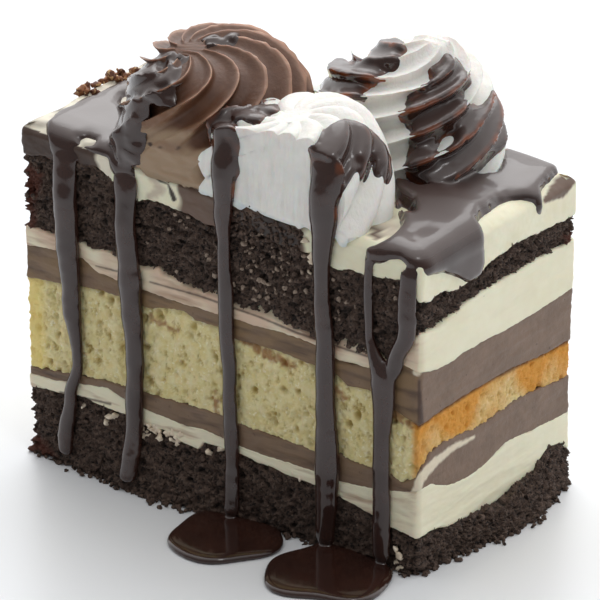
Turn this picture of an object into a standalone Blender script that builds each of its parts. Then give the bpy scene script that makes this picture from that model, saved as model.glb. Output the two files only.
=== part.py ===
"""A slice of layered chocolate cake: three sponges, creams, mousse, icing, three piped rosettes and sauce.

+Z is up, +X runs along the long cut face (the front, at the lowest Y), and the origin is the middle of
the base's bottom. The second cut face is at the highest X. Every layer is one solid that runs through.
"""
import math

import bmesh
import bpy
from mathutils import Vector, noise

MM = 0.001

# Driving dimensions, in millimetres.
LENGTH = 114.5
DEPTH = 64.1
GAP = 0.36                # air between neighbouring solids
BAND = 8.0                # how far in from a face a layer's own wave at that face dies out
FRONT_STEPS, RIGHT_STEPS, BACK_STEPS, LEFT_STEPS = 30, 16, 10, 8
CORNER_WEAR = 0.9
SEAM_STEP = 7             # the chocolate icing takes this many of the front's steps

HALF_L, HALF_D = LENGTH / 2, DEPTH / 2

# Height of each layer's top round the two cut faces: along the front at four places from the left end,
# then at the corner, and on the right face at its middle and its far end.
FRONT_PLACES = (-HALF_L, -18.0, 20.0, 46.0, HALF_L)
LAYER_TOPS = {
    "base_sponge": (18.3, 16.5, 15.0, 11.5, 9.0, 5.2, 9.0),
    "lower_white_cream": (21.2, 20.7, 18.6, 17.8, 20.0, 17.6, 16.2),
    "lower_mousse": (24.4, 25.2, 24.6, 22.8, 26.4, 27.5, 26.2),
    "yellow_sponge": (48.0, 47.0, 46.6, 42.8, 36.8, 37.0, 36.3),
    "upper_mousse": (54.8, 52.0, 49.7, 47.9, 49.2, 49.0, 50.0),
    "upper_white_cream": (58.6, 57.3, 53.0, 51.0, 57.6, 60.4, 62.0),
    "top_sponge": (78.0, 73.6, 71.4, 69.6, 66.8, 67.6, 68.8),
}
ICING_CORNERS = {"front_left": 85.0, "front_right": 76.8, "back_right": 77.9, "back_left": 89.3}

SPONGE_CRAG, CREAM_CRAG = 1.2, 0.35

ROSETTES = {
    # name: centre x, centre y, radius, height, ridges, turn of the swirl in degrees, sharpness, breadth,
    # how far the tip leans in x and y and stands up, and how the top slopes in x and y
    "rosette_chocolate": (-12.0, -14.0, 24.5, 24.5, 12, 125, 0.9, 0.50, -6.0, -2.5, 0.6, 0.08, 0.20),
    "rosette_white_front": (17.0, -24.0, 23.0, 20.0, 11, 95, 0.0, 0.45, 0.0, 0.0, 0.3, 0.20, 0.15),
    "rosette_white_back": (20.5, 14.0, 24.5, 23.5, 7, 270, 0.4, 0.56, 7.0, 3.0, 4.6, 0.02, 0.05),
}
RIDGE_DEPTH = 0.17        # of the rosette's radius

# Each drip as a few places down the front: x, z, width.
DRIPS_CHOCOLATE = {
    "drip_1": ((-43.4, 85.6, 7.4), (-42.3, 62, 7.0), (-41.6, 46, 6.0), (-40.6, 28, 3.4), (-42.8, 19, 3.8),
               (-44.3, 8, 4.8), (-44.4, 3.0, 4.2)),
}
DRIPS_WHITE = {
    "drip_2": ((-24.9, 83.0, 8.0), (-24.6, 69, 6.0), (-23.4, 53, 6.8), (-22.8, 35, 5.2), (-23.2, 12, 5.2),
               (-23.6, 2.4, 5.0)),
    "drip_3": ((4.2, 97.2, 4.2), (4.2, 95.0, 7.0), (4.1, 84, 6.6), (3.7, 69, 3.8), (4.3, 54, 4.6),
               (5.2, 33, 4.2), (6.4, 1.4, 4.2)),
    "drip_4": ((33.2, 97.0, 5.6), (32.8, 93.5, 9.6), (31.8, 85, 7.6), (31.2, 66, 4.4), (32.2, 50, 5.2),
               (33.3, 18, 6.6), (32.4, 1.4, 5.0)),
    "drip_5": ((43.6, 75.5, 2.8), (43.8, 57, 2.6), (48.4, 47, 6.4), (48.0, 30, 4.8), (48.1, 1.4, 4.8)),
    "drip_6": ((54.0, 76.0, 5.4), (54.2, 60, 5.0), (51.0, 51, 4.2), (48.8, 45, 3.8)),
}
DRIP_DEPTH = 0.62         # a drip's depth over its width
PUDDLES = {
    # name: centre x, centre y, radius, wave, lean
    "puddle_1": (10.5, -42.0, 13.4, 0.05, 0.6),
    "puddle_2": (40.5, -42.5, 14.6, 0.08, 2.1),
}
PUDDLE_HEIGHT = 1.7
GLAZE_HEIGHT = 1.1

COLOURS = {
    "dark_sponge": ((0.022, 0.014, 0.011, 1), 0.9),
    "yellow_sponge": ((0.62, 0.43, 0.17, 1), 0.9),
    "white_cream": ((0.80, 0.72, 0.52, 1), 0.5),
    "mousse": ((0.13, 0.078, 0.055, 1), 0.55),
    "white_icing": ((0.82, 0.76, 0.58, 1), 0.45),
    "chocolate_icing": ((0.12, 0.065, 0.040, 1), 0.5),
    "chocolate_cream": ((0.15, 0.075, 0.042, 1), 0.5),
    "whipped_cream": ((0.86, 0.86, 0.84, 1), 0.5),
}


def clear_scene():
    for item in list(bpy.data.objects):
        bpy.data.objects.remove(item, do_unlink=True)


def material(slot):
    colour, roughness = COLOURS[slot]
    made = bpy.data.materials.new(slot)
    made.use_nodes = True
    shader = made.node_tree.nodes["Principled BSDF"]
    shader.inputs["Base Color"].default_value = colour
    shader.inputs["Roughness"].default_value = roughness
    return made


def between(places, values, at):
    """Smooth step from place to place, so a layer line bends gently."""
    for k in range(len(places) - 1):
        if at <= places[k + 1] or k == len(places) - 2:
            part = min(max((at - places[k]) / (places[k + 1] - places[k]), 0.0), 1.0)
            part = part * part * (3 - 2 * part)
            return values[k] + (values[k + 1] - values[k]) * part
    return values[-1]


def corner_mix(corners, x, y):
    u, v = x / LENGTH + 0.5, y / DEPTH + 0.5
    front = corners["front_left"] * (1 - u) + corners["front_right"] * u
    back = corners["back_left"] * (1 - u) + corners["back_right"] * u
    return front * (1 - v) + back * v


def icing_top(x, y):
    """The icing's top: a plane inside, which meets the four corner heights at the faces."""
    c = ICING_CORNERS
    middle = sum(c.values()) / 4
    along = (c["front_right"] + c["back_right"] - c["front_left"] - c["back_left"]) / (2 * LENGTH)
    across = (c["back_left"] + c["back_right"] - c["front_left"] - c["front_right"]) / (2 * DEPTH)
    inside = middle + along * x + across * y
    return inside + (corner_mix(c, x, y) - inside) * nearness(x, y)


def nearness(x, y):
    """1 on a face, 0 from BAND inwards."""
    depth = min(HALF_L - abs(x), HALF_D - abs(y))
    return max(0.0, 1.0 - depth / BAND)


def layer_top(name, x, y):
    """Height of a layer's top: a sloping plane inside, the measured wave at the faces."""
    if name == "floor":
        return 0.0
    v = LAYER_TOPS[name]
    left, right = v[0], (v[4] + v[5] + v[6]) / 3
    u = min(max(x / LENGTH + 0.5, 0.0), 1.0)
    inside = (0.5 * v[0] + 0.5 * v[1]) * (1 - u) + right * u
    sides = {
        HALF_D + y: between(FRONT_PLACES, v[:5], x),
        HALF_L - x: between((-HALF_D, 0.0, HALF_D), v[4:], y),
        HALF_D - y: left * (1 - u) + v[6] * u,
        HALF_L + x: left,
    }
    face = sides[min(sides)]
    return inside + (face - inside) * nearness(x, y)


def outline(first=0, last=FRONT_STEPS):
    """Points round the slice, from the front's left end, counter-clockwise, with the face each lies on."""
    x0 = -HALF_L + LENGTH * first / FRONT_STEPS + (GAP / 2 if first else 0)
    x1 = -HALF_L + LENGTH * last / FRONT_STEPS - (GAP / 2 if last < FRONT_STEPS else 0)
    front = [(x0 + (x1 - x0) * k / (last - first), -HALF_D, 0, -1) for k in range(last - first)]
    right = [(x1, -HALF_D + DEPTH * k / RIGHT_STEPS, 1, 0) for k in range(RIGHT_STEPS)]
    back_steps = max(3, round(BACK_STEPS * (last - first) / FRONT_STEPS))
    back = [(x1 - (x1 - x0) * k / back_steps, HALF_D, 0, 1) for k in range(back_steps)]
    left = [(x0, HALF_D - DEPTH * k / LEFT_STEPS, -1, 0) for k in range(LEFT_STEPS)]
    points = front + right + back + left
    corners = (0, len(front), len(front) + len(right), len(front) + len(right) + len(back))
    return points, corners


def around(place, count):
    """Which side of a many-sided cylinder a vertex stands at: its sides start at +Y and run clockwise."""
    return -round(math.atan2(place.x, place.y) / (2 * math.pi) * count) % count


def split_alike(shape, count, rows):
    """Cut the faces round both ends along the same diagonals, so that two layers meet without crossing."""
    rims = [face for face in shape.faces
            if len(face.verts) == 4 and all(abs(vert.co.z) > rows / 2 - 0.1 for vert in face.verts)]
    for face in rims:
        steps = {vert: around(vert.co, count) for vert in face.verts}
        outer = [vert for vert in face.verts if vert.co.xy.length > 0.9]
        inner = [vert for vert in face.verts if vert.co.xy.length < 0.9]
        first = next(vert for vert in outer if (steps[vert] + 1) % count in (steps[other] for other in outer))
        second = next(vert for vert in inner if steps[vert] == (steps[first] + 1) % count)
        bmesh.utils.face_split(face, first, second)


def slab(name, bottom, top, rows, crag, reach=None, first=0, last=FRONT_STEPS, round_top=0.0):
    """One layer: a cylinder with many sides, each vertex carried to its place by its angle, height and radius."""
    points, corners = outline(first, last)
    count = len(points)
    middle = Vector(((points[0][0] + points[corners[1]][0]) / 2, 0.0))
    half = Vector(((points[corners[1]][0] - points[0][0]) / 2, HALF_D))
    shape = bmesh.new()
    bmesh.ops.create_cone(shape, cap_ends=True, segments=count, radius1=1, radius2=1, depth=rows)
    uprights = [edge for edge in shape.edges if abs(edge.verts[0].co.z - edge.verts[1].co.z) > rows / 2]
    bmesh.ops.subdivide_edges(shape, edges=uprights, cuts=rows - 1, use_grid_fill=True)
    caps = [face for face in shape.faces if len(face.verts) == count]
    bmesh.ops.inset_individual(shape, faces=caps, thickness=0.2)
    split_alike(shape, count, rows)
    for vert in shape.verts:
        step = around(vert.co, count)
        x, y, out_x, out_y = points[step]
        level = round(vert.co.z + rows / 2)
        if step in corners:
            x -= math.copysign(CORNER_WEAR, x - middle.x)
            y -= math.copysign(CORNER_WEAR, y)
        place = Vector((x, y))
        inside = Vector((min(max(x, middle.x - half.x + BAND), middle.x + half.x - BAND),
                         min(max(y, BAND - HALF_D), HALF_D - BAND)))
        share = 0.0
        if math.hypot(vert.co.x, vert.co.y) > 0.9:
            seam = (out_x > 0 and last < FRONT_STEPS) or (out_x < 0 and first)
            z = bottom(x, y) + (top(x, y) - bottom(x, y)) * level / rows
            offset = 0.0 if seam else -crag * abs(noise.noise(Vector((x * 0.21, y * 0.21, z * 0.33)))) * 1.6
            if reach and not seam:
                offset += reach(x, y, z, out_x, out_y)
            if round_top and level == rows:
                offset -= round_top
            share = 1 + offset / (place - inside).length
        # Every layer's edge moves along the same line from the inside out, so neighbours keep their gap.
        x, y = inside + (place - inside) * share
        low = bottom(*inside) + (bottom(*place) - bottom(*inside)) * share
        high = top(*inside) + (top(*place) - top(*inside)) * share - GAP / 2
        low = low + GAP / 2 if low > 0 else 0.0
        z = low + (high - low) * level / rows
        if round_top and level == rows - 1:
            z = high - round_top
        vert.co = Vector((x, y, z)) * MM
    bmesh.ops.remove_doubles(shape, verts=shape.verts, dist=0.01 * MM)
    bmesh.ops.triangulate(shape, faces=[face for face in shape.faces if len(face.verts) == 4], quad_method="FIXED")
    return finish(name, shape)


def finish(name, shape):
    bmesh.ops.recalc_face_normals(shape, faces=shape.faces)
    if shape.calc_volume(signed=True) < 0:
        bmesh.ops.reverse_faces(shape, faces=shape.faces)
    mesh = bpy.data.meshes.new(name)
    shape.to_mesh(mesh)
    shape.free()
    made = bpy.data.objects.new(name, mesh)
    bpy.context.scene.collection.objects.link(made)
    return made


def paint(thing, slot):
    thing.data.materials.clear()
    thing.data.materials.append(material(slot))


def rosette(name, grow=0.0, cut=True):
    """A piped swirl: rings of a cone primitive that turn as they rise, with ridges drawn in at the valleys."""
    cx, cy, radius, height, ridges, turn, sharp, breadth, lean_x, lean_y, tip, slope_x, slope_y = ROSETTES[name]
    sides, rings = ridges * (5 if ridges > 8 else 6), 12
    shape = bmesh.new()
    bmesh.ops.create_cone(shape, cap_ends=True, cap_tris=True, segments=sides, radius1=1, radius2=0.5, depth=rings)
    uprights = [edge for edge in shape.edges if abs(edge.verts[0].co.z - edge.verts[1].co.z) > rings / 2]
    bmesh.ops.subdivide_edges(shape, edges=uprights, cuts=rings - 1, use_grid_fill=True)
    for vert in shape.verts:
        rise = round(vert.co.z + rings / 2) / rings
        spin = math.atan2(vert.co.y, vert.co.x)
        centre = math.hypot(vert.co.x, vert.co.y) < 0.2
        wave = abs(math.sin(spin * ridges / 2))
        lobe = (1 - wave) ** (1 + sharp) if sharp > 0.3 else wave
        swell = math.sin(math.pi * (0.12 + 0.83 * rise)) ** 0.6
        body = radius * math.cos(math.pi / 2 * rise * 0.985) ** breadth
        across = max(body * (1 - RIDGE_DEPTH * (1 - lobe) * (0.5 + 0.5 * swell)), 0.02 * radius) + grow
        angle = spin + math.radians(turn) * rise
        x = cx + (0 if centre else across * math.cos(angle)) + lean_x * rise ** 4
        y = cy + (0 if centre else across * math.sin(angle)) + lean_y * rise ** 4
        foot = icing_top(min(max(x, -HALF_L), HALF_L), min(max(y, -HALF_D), HALF_D)) + 1.4 * GAP
        level = math.sin(math.pi / 2 * rise)
        pulled = tip * max(0.0, (rise - 0.8) / 0.2) ** 2 + rise * (slope_x * (x - cx) + slope_y * (y - cy))
        z = foot + height * level * (1 + 0.08 * (lobe - 0.5) * swell) + pulled + {0: -grow / 3, 1: grow}.get(rise, 0)
        vert.co = Vector((x, y, z)) * MM
    bmesh.ops.triangulate(shape, faces=shape.faces, quad_method="FIXED")
    if cut:
        plane = bmesh.ops.bisect_plane(shape, geom=shape.verts[:] + shape.edges[:] + shape.faces[:],
                                       plane_co=(0, (-HALF_D - grow) * MM, 0), plane_no=(0, -1, 0), clear_outer=True)
        edges = [item for item in plane["geom_cut"] if isinstance(item, bmesh.types.BMEdge)]
        bmesh.ops.edgeloop_fill(shape, edges=edges)
    return finish(name, shape)


def along(places, z):
    """Middle and width of a drip at a height, eased between its named places."""
    heights = [-place[1] for place in places]
    return (between(heights, [place[0] for place in places], -z),
            between(heights, [place[2] for place in places], -z))


def tube(name, places):
    """A drip: a bevelled curve, flattened, its back sunk in the icing and clear of the layers below it."""
    top, foot = places[0][1], places[-1][1]
    x = places[0][0]
    sponge, icing = layer_top("top_sponge", x, -HALF_D), icing_top(x, -HALF_D)
    turns = [z for z in (icing + 0.4, icing - 1.4, sponge + 2.4, sponge + 0.7) if foot < z < top]
    steps = round((top - foot) / 7.0)
    heights = sorted({round(top - (top - foot) * k / steps, 2) for k in range(steps + 1)}, reverse=True)
    heights = [z for z in heights if min((abs(z - turn) for turn in turns), default=9) > 1.5] + turns
    heights = sorted(set(heights) | {top, foot}, reverse=True)
    data = bpy.data.curves.new(name, "CURVE")
    data.dimensions = "3D"
    data.twist_mode = "MINIMUM"
    data.bevel_depth = 1.0 * MM
    data.bevel_resolution = 1
    data.use_fill_caps = True
    line = data.splines.new("POLY")
    line.points.add(len(heights) - 1)
    for point, z in zip(line.points, heights):
        middle, width = along(places, z)
        point.co = (middle * MM, 0, z * MM, 1)
        point.radius = width / 2
    curve = bpy.data.objects.new(name, data)
    bpy.context.scene.collection.objects.link(curve)
    mesh = bpy.data.meshes.new_from_object(curve.evaluated_get(bpy.context.evaluated_depsgraph_get()))
    bpy.data.objects.remove(curve, do_unlink=True)
    shape = bmesh.new()
    shape.from_mesh(mesh)
    bmesh.ops.remove_doubles(shape, verts=shape.verts, dist=0.01 * MM)
    for vert in shape.verts:
        x, z = vert.co.x / MM, vert.co.z / MM
        width = along(places, z)[1]
        vert.co.y = vert.co.y * DRIP_DEPTH - (HALF_D + standoff(x, z) + width / 2 * DRIP_DEPTH) * MM
    return finish(name, shape)


def base_bulge(x, y, z, out_x, out_y):
    """The dark base is squashed outwards at its foot, most at the middle of each cut face."""
    top = 17.0
    foot = max(0.0, 1 - z / top) ** 1.3
    if out_y < 0:
        return 4.2 * foot * math.exp(-((x + 16) / 24) ** 2)
    if out_x > 0:
        return 6.5 * foot * math.exp(-((y - 6) / 20) ** 2)
    if out_x < 0:
        return -3.2 * math.sin(math.pi * min(z / top, 1.0)) + 0.6
    return 0.0


def standoff(x, z):
    """How far a drip's back keeps in front of the front face: on the icing it sinks in, so the two fuse."""
    sponge, icing = layer_top("top_sponge", x, -HALF_D), icing_top(x, -HALF_D)
    clear = 0.35 + base_bulge(x, -HALF_D, max(z, 0.0), 0, -1)
    if z > (sponge + icing) / 2:
        return between((icing - 1.6, icing + 0.2), (-0.9, clear), z)
    return between((sponge + 0.6, sponge + 2.4), (clear, -0.9), z)


def blob(name, cx, cy, radius_x, radius_y, wave, lean, low, high, sides=36, turn=0.0):
    """A flat pool of sauce with a wavy rim and rounded top edge."""
    shape = bmesh.new()
    bmesh.ops.create_cone(shape, cap_ends=True, segments=sides, radius1=1, radius2=1, depth=2)
    uprights = [edge for edge in shape.edges if abs(edge.verts[0].co.z - edge.verts[1].co.z) > 1]
    bmesh.ops.subdivide_edges(shape, edges=uprights, cuts=1, use_grid_fill=True)
    upper = [face for face in shape.faces if len(face.verts) == sides and face.normal.z > 0.5]
    bmesh.ops.inset_individual(shape, faces=upper, thickness=0.25)
    for vert in shape.verts:
        angle = math.atan2(vert.co.y, vert.co.x)
        level = round(vert.co.z + 1)
        inner = math.hypot(vert.co.x, vert.co.y) < 0.9
        rim = 1 + wave * math.sin(3 * angle + lean) + 0.6 * wave * math.sin(5 * angle + 2.1 * lean)
        rim *= 0.72 if inner else (0.93 if level == 2 else 1.0)
        px, py = radius_x * rim * math.cos(angle), radius_y * rim * math.sin(angle)
        x = cx + px * math.cos(turn) - py * math.sin(turn)
        y = cy + px * math.sin(turn) + py * math.cos(turn)
        if high(x, y) < 5:
            y = min(y, -HALF_D - base_bulge(x, y, 0.0, 0, -1) - GAP)
        z = low(x, y) + (high(x, y) - low(x, y)) * (1.0 if inner else (0.0, 0.45, 0.86)[level])
        vert.co = Vector((x, y, z)) * MM
    return finish(name, shape)


def join(target, tools, operation, label):
    """One Boolean on a collection of tools, applied, with the tools removed after it."""
    group = bpy.data.collections.new(label)
    bpy.context.scene.collection.children.link(group)
    for tool in tools:
        bpy.context.scene.collection.objects.unlink(tool)
        group.objects.link(tool)
        tool.display_type = "WIRE"
        tool.hide_render = True
    step = target.modifiers.new(label, "BOOLEAN")
    step.operation = operation
    step.solver = "EXACT"
    step.operand_type = "COLLECTION"
    step.collection = group
    depsgraph = bpy.context.evaluated_depsgraph_get()
    mesh = bpy.data.meshes.new_from_object(target.evaluated_get(depsgraph))
    target.modifiers.clear()
    target.data = mesh
    for tool in list(group.objects):
        bpy.data.objects.remove(tool, do_unlink=True)
    bpy.data.collections.remove(group)
    shape = bmesh.new()
    shape.from_mesh(mesh)
    bmesh.ops.remove_doubles(shape, verts=shape.verts, dist=0.01 * MM)
    bmesh.ops.dissolve_degenerate(shape, edges=shape.edges, dist=0.005 * MM)
    bmesh.ops.triangulate(shape, faces=shape.faces)
    shape.to_mesh(mesh)
    shape.free()


def sunk(x, y):
    return icing_top(min(max(x, -HALF_L), HALF_L), min(max(y, -HALF_D), HALF_D)) - 1.0


def glazed(x, y):
    return sunk(x, y) + 1.0 + GLAZE_HEIGHT


clear_scene()

# The seven layers under the icing, each from the one below to its own top.
LAYERS = [
    ("base_sponge", "dark_sponge", 4, SPONGE_CRAG, base_bulge),
    ("lower_white_cream", "white_cream", 2, CREAM_CRAG, None),
    ("lower_mousse", "mousse", 2, CREAM_CRAG, None),
    ("yellow_sponge", "yellow_sponge", 4, SPONGE_CRAG, None),
    ("upper_mousse", "mousse", 2, CREAM_CRAG, None),
    ("upper_white_cream", "white_cream", 2, CREAM_CRAG, None),
    ("top_sponge", "dark_sponge", 4, SPONGE_CRAG, None),
]
below = "floor"
for layer, slot, rows, crag, reach in LAYERS:
    made = slab(layer,
                lambda x, y, under=below: layer_top(under, x, y),
                lambda x, y, own=layer: layer_top(own, x, y),
                rows, crag, reach)
    paint(made, slot)
    below = layer

# The icing is chocolate at the left end and white for the rest.
def sponge_top(x, y):
    return layer_top("top_sponge", x, y)


icing_chocolate = slab("icing_chocolate", sponge_top, icing_top, 3, CREAM_CRAG, last=SEAM_STEP, round_top=1.4)
icing_white = slab("icing_white", sponge_top, icing_top, 3, CREAM_CRAG, first=SEAM_STEP, round_top=1.4)

# The rosettes: the front one was piped last, and the back one gives way to both others.
front_rosette = rosette("rosette_white_front")
chocolate_rosette = rosette("rosette_chocolate")
back_rosette = rosette("rosette_white_back")
join(chocolate_rosette, [rosette("rosette_white_front", grow=GAP)], "DIFFERENCE", "front_swirl_room")
join(back_rosette, [rosette("rosette_white_front", grow=GAP)], "DIFFERENCE", "front_swirl_room")
join(back_rosette, [rosette("rosette_chocolate", grow=GAP)], "DIFFERENCE", "chocolate_swirl_room")
paint(front_rosette, "whipped_cream")
paint(chocolate_rosette, "chocolate_cream")
paint(back_rosette, "whipped_cream")

# Sauce: pools on the icing, drips down the front and two puddles at its foot, fused to the icing they run from.
pool_left = blob("pool_left", -44.0, -7.0, 12.0, 26.5, 0.05, 0.4, sunk, glazed)
pool_right = blob("pool_right", 45.5, -4.0, 13.4, 29.0, 0.06, 1.2, sunk, glazed, turn=math.radians(6))
for pool in (pool_left, pool_right):
    join(pool, [rosette(each, grow=2.5 * GAP, cut=False) for each in ROSETTES], "DIFFERENCE", "swirl_room")
puddles = [blob(each, cx, cy, radius, radius, wave, lean, lambda x, y: 0.0, lambda x, y: PUDDLE_HEIGHT)
           for each, (cx, cy, radius, wave, lean) in PUDDLES.items()]
drips_left = [tube(each, places) for each, places in DRIPS_CHOCOLATE.items()]
drips_right = [tube(each, places) for each, places in DRIPS_WHITE.items()]
join(icing_chocolate, [pool_left] + drips_left, "UNION", "left_sauce")
join(icing_white, [pool_right] + drips_right + puddles, "UNION", "right_sauce")
paint(icing_chocolate, "chocolate_icing")
paint(icing_white, "white_icing")
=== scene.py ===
# %% [markdown]
# # A slice of layered chocolate cake
# This lesson dresses a plain CAD model of a tall slice of cake. The CAD file gives the place and size of
# every layer, rosette and drip. Here each one gets the surface of real food: open crumb, smeared cream,
# piped ridges and glossy sauce. First the frame is loaded.

# %% Load the frame
import math
import random

import bmesh
import bpy
import numpy as np
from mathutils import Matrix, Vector, noise
from mathutils.bvhtree import BVHTree
from mathutils.kdtree import KDTree


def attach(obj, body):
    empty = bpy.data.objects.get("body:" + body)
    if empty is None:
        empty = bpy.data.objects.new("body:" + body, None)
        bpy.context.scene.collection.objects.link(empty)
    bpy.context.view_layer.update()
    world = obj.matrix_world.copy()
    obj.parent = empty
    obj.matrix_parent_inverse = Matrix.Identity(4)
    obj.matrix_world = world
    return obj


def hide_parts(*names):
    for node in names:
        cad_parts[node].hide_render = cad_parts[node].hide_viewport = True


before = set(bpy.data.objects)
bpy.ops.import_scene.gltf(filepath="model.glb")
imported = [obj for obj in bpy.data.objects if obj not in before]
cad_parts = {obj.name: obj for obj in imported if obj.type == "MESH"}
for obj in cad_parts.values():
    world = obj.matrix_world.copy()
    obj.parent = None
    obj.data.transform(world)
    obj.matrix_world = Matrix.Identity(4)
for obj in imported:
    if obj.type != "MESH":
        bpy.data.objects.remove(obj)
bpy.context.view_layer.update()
MM = 0.001
print("nodes:", ", ".join(sorted(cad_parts)))

# %% [markdown]
# The camera comes first, because everything is judged through it. The photograph was taken from a little
# above, with a long lens from well away, so that the upright edges stay nearly parallel. The same numbers
# serve as a function that tells where a point of the cake lands in the 600 by 600 picture. The sauce uses
# it later, to find which part of the cream it runs over.

# %% Camera
AZIMUTH, ELEVATION, DISTANCE = math.radians(36.26), math.radians(22.62), 0.8
FOCAL = 3368.9
PICTURE, SENSOR = 600, 36
OFF_CENTRE = (-3.87, 12.96)
AIM = Vector((0, 0, 0.040))
BACK = Vector((math.sin(AZIMUTH) * math.cos(ELEVATION), -math.cos(AZIMUTH) * math.cos(ELEVATION),
               math.sin(ELEVATION)))
EYE = AIM + BACK * DISTANCE

lens = bpy.data.cameras.new("camera")
lens.sensor_width = SENSOR
lens.lens = FOCAL / PICTURE * SENSOR
lens.shift_x, lens.shift_y = 0.0065, 0.0216
lens.clip_start, lens.clip_end = 0.05, 20
camera = bpy.data.objects.new("camera", lens)
camera.location = EYE
camera.rotation_euler = BACK.to_track_quat("Z", "Y").to_euler()
bpy.context.scene.collection.objects.link(camera)
bpy.context.scene.camera = camera


def picture(points):
    """Where points of the cake, in millimetres, land in the picture."""
    forward, right = -np.array(BACK), np.array(BACK.cross((0, 0, 1)).normalized()) * -1
    up = np.cross(right, forward)
    away = np.asarray(points) * MM - np.array(EYE)
    depth = away @ forward
    return (PICTURE / 2 + OFF_CENTRE[0] + FOCAL * (away @ right) / depth,
            PICTURE / 2 + OFF_CENTRE[1] - FOCAL * (away @ up) / depth)


print("middle of the cake lands at", np.round(picture([[0, 0, 40]]), 1).ravel())

# %% [markdown]
# The cake's own sizes, in millimetres, as the CAD model has them. A layer's top is a wavy line on each of the
# two cut faces. It is written down as a few places along the front, as (x, z), and along the right face, as
# (y, z). Inside the slice, where nobody looks, the layers run straight from end to end.

# %% Sizes
LENGTH, DEPTH = 114.5, 64.1
HALF_L, HALF_D = LENGTH / 2, DEPTH / 2
BAND = 8.0
FRONT_LINES = {
    "base_sponge": ((-55.4, 17.8), (-46.9, 18.7), (-41.3, 19.3), (-32.3, 18.6), (-26.2, 18.1),
                    (-19.9, 17.2), (-14.8, 17.3), (-10.3, 15.9), (-5.0, 15.1), (-3.2, 17.3), (3.6, 17.6),
                    (9.7, 17.1), (18.0, 16.1), (28.6, 15.3), (35.7, 14.4), (44.0, 12.5), (49.9, 10.9),
                    (56.4, 9.9)),
    "lower_white_cream": ((-56.3, 20.9), (-49.0, 21.2), (-38.4, 22.7), (-32.2, 23.5), (-25.8, 21.6),
                          (-19.2, 20.8), (-8.2, 19.9), (-3.4, 20.4), (3.6, 19.7), (9.7, 18.8), (28.8, 18.6),
                          (35.7, 18.0), (44.3, 18.8), (49.8, 19.7), (57.0, 21.3)),
    "lower_mousse": ((-56.2, 22.9), (-51.4, 23.2), (-38.3, 24.5), (-28.2, 24.9), (-5.7, 25.3), (3.1, 25.1),
                     (9.5, 24.3), (24.0, 23.8), (29.4, 23.2), (35.5, 24.9), (39.2, 23.6), (48.8, 23.6),
                     (52.6, 22.1), (57.0, 24.8)),
    "yellow_sponge": ((-56.8, 46.2), (-45.9, 47.1), (-32.7, 48.5), (-19.5, 47.2), (-13.6, 48.9),
                      (-8.9, 49.3), (-5.4, 47.7), (1.3, 47.7), (7.0, 45.8), (19.0, 46.1), (29.3, 44.8),
                      (35.2, 44.2), (37.6, 42.4), (43.4, 43.1), (51.0, 39.7), (56.7, 37.6)),
    "upper_mousse": ((-54.9, 54.7), (-46.2, 55.5), (-38.9, 55.1), (-34.1, 52.8), (-27.5, 52.1),
                     (-15.0, 51.1), (7.1, 50.8), (19.0, 50.9), (29.3, 50.0), (35.3, 47.9), (43.3, 48.4),
                     (53.0, 51.6), (57.0, 50.4)),
    "upper_white_cream": ((-54.4, 59.2), (-46.1, 58.5), (-39.4, 58.8), (-35.5, 57.7), (-30.9, 58.4),
                          (-20.5, 56.5), (-16.1, 57.6), (-14.6, 56.3), (-7.3, 55.1), (1.4, 54.7),
                          (7.1, 53.2), (19.0, 53.0), (29.3, 51.4), (43.3, 51.2), (49.2, 51.6),
                          (51.9, 53.5), (53.7, 57.6), (57.0, 59.4)),
    "top_sponge": ((-53.7, 77.7), (-41.5, 78.1), (-33.6, 79.1), (-30.4, 77.3), (-22.5, 73.6), (-16.0, 74.6),
                   (-9.9, 74.0), (-1.6, 72.3), (1.6, 72.5), (6.4, 74.6), (11.5, 73.6), (16.8, 72.6),
                   (25.4, 72.2), (28.7, 72.5), (33.6, 69.8), (38.3, 70.5), (44.7, 70.6), (52.7, 71.5),
                   (56.7, 67.1)),
}
RIGHT_LINES = {
    "base_sponge": ((-32.0, 10.0), (-26.7, 10.1), (-19.9, 8.6), (-13.1, 7.6), (-6.0, 7.0), (0.4, 6.7),
                    (8.2, 7.9), (15.8, 8.5), (18.3, 10.4), (22.6, 12.4), (28.1, 11.4), (31.8, 8.6)),
    "lower_white_cream": ((-32.0, 21.5), (-27.0, 21.6), (-20.2, 18.5), (-13.4, 17.5), (-6.4, 17.8),
                          (-1.5, 18.9), (4.0, 20.3), (14.8, 19.2), (30.7, 18.1)),
    "lower_mousse": ((-32.0, 25.4), (-27.2, 29.0), (-20.5, 29.8), (-13.8, 29.3), (-6.8, 28.2), (1.1, 28.8),
                     (7.5, 29.3), (14.3, 28.9), (28.4, 27.2)),
    "yellow_sponge": ((-32.0, 37.4), (-23.5, 38.3), (-7.2, 38.7), (6.8, 38.3), (22.1, 37.1), (31.8, 36.8)),
    "upper_mousse": ((-32.0, 50.3), (-29.8, 50.1), (-25.1, 49.1), (-21.1, 48.9), (-14.5, 49.5),
                     (-0.7, 49.2), (13.3, 49.0), (31.9, 50.2)),
    "upper_white_cream": ((-32.0, 59.4), (-29.3, 59.0), (-24.8, 58.7), (-17.4, 60.2), (-8.0, 61.5),
                          (5.8, 61.5), (15.7, 62.0), (27.7, 61.9)),
    "top_sponge": ((-32.0, 67.3), (-28.2, 66.7), (-25.6, 67.3), (-17.6, 65.9), (-9.6, 66.1), (-4.2, 68.4),
                   (6.5, 69.1), (16.2, 68.7), (25.6, 68.2)),
}
ICING_CORNERS = {"front_left": 85.0, "front_right": 76.8, "back_right": 77.9, "back_left": 89.3}


def along_line(line, at):
    return float(np.interp(at, [place[0] for place in line], [place[1] for place in line]))


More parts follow.
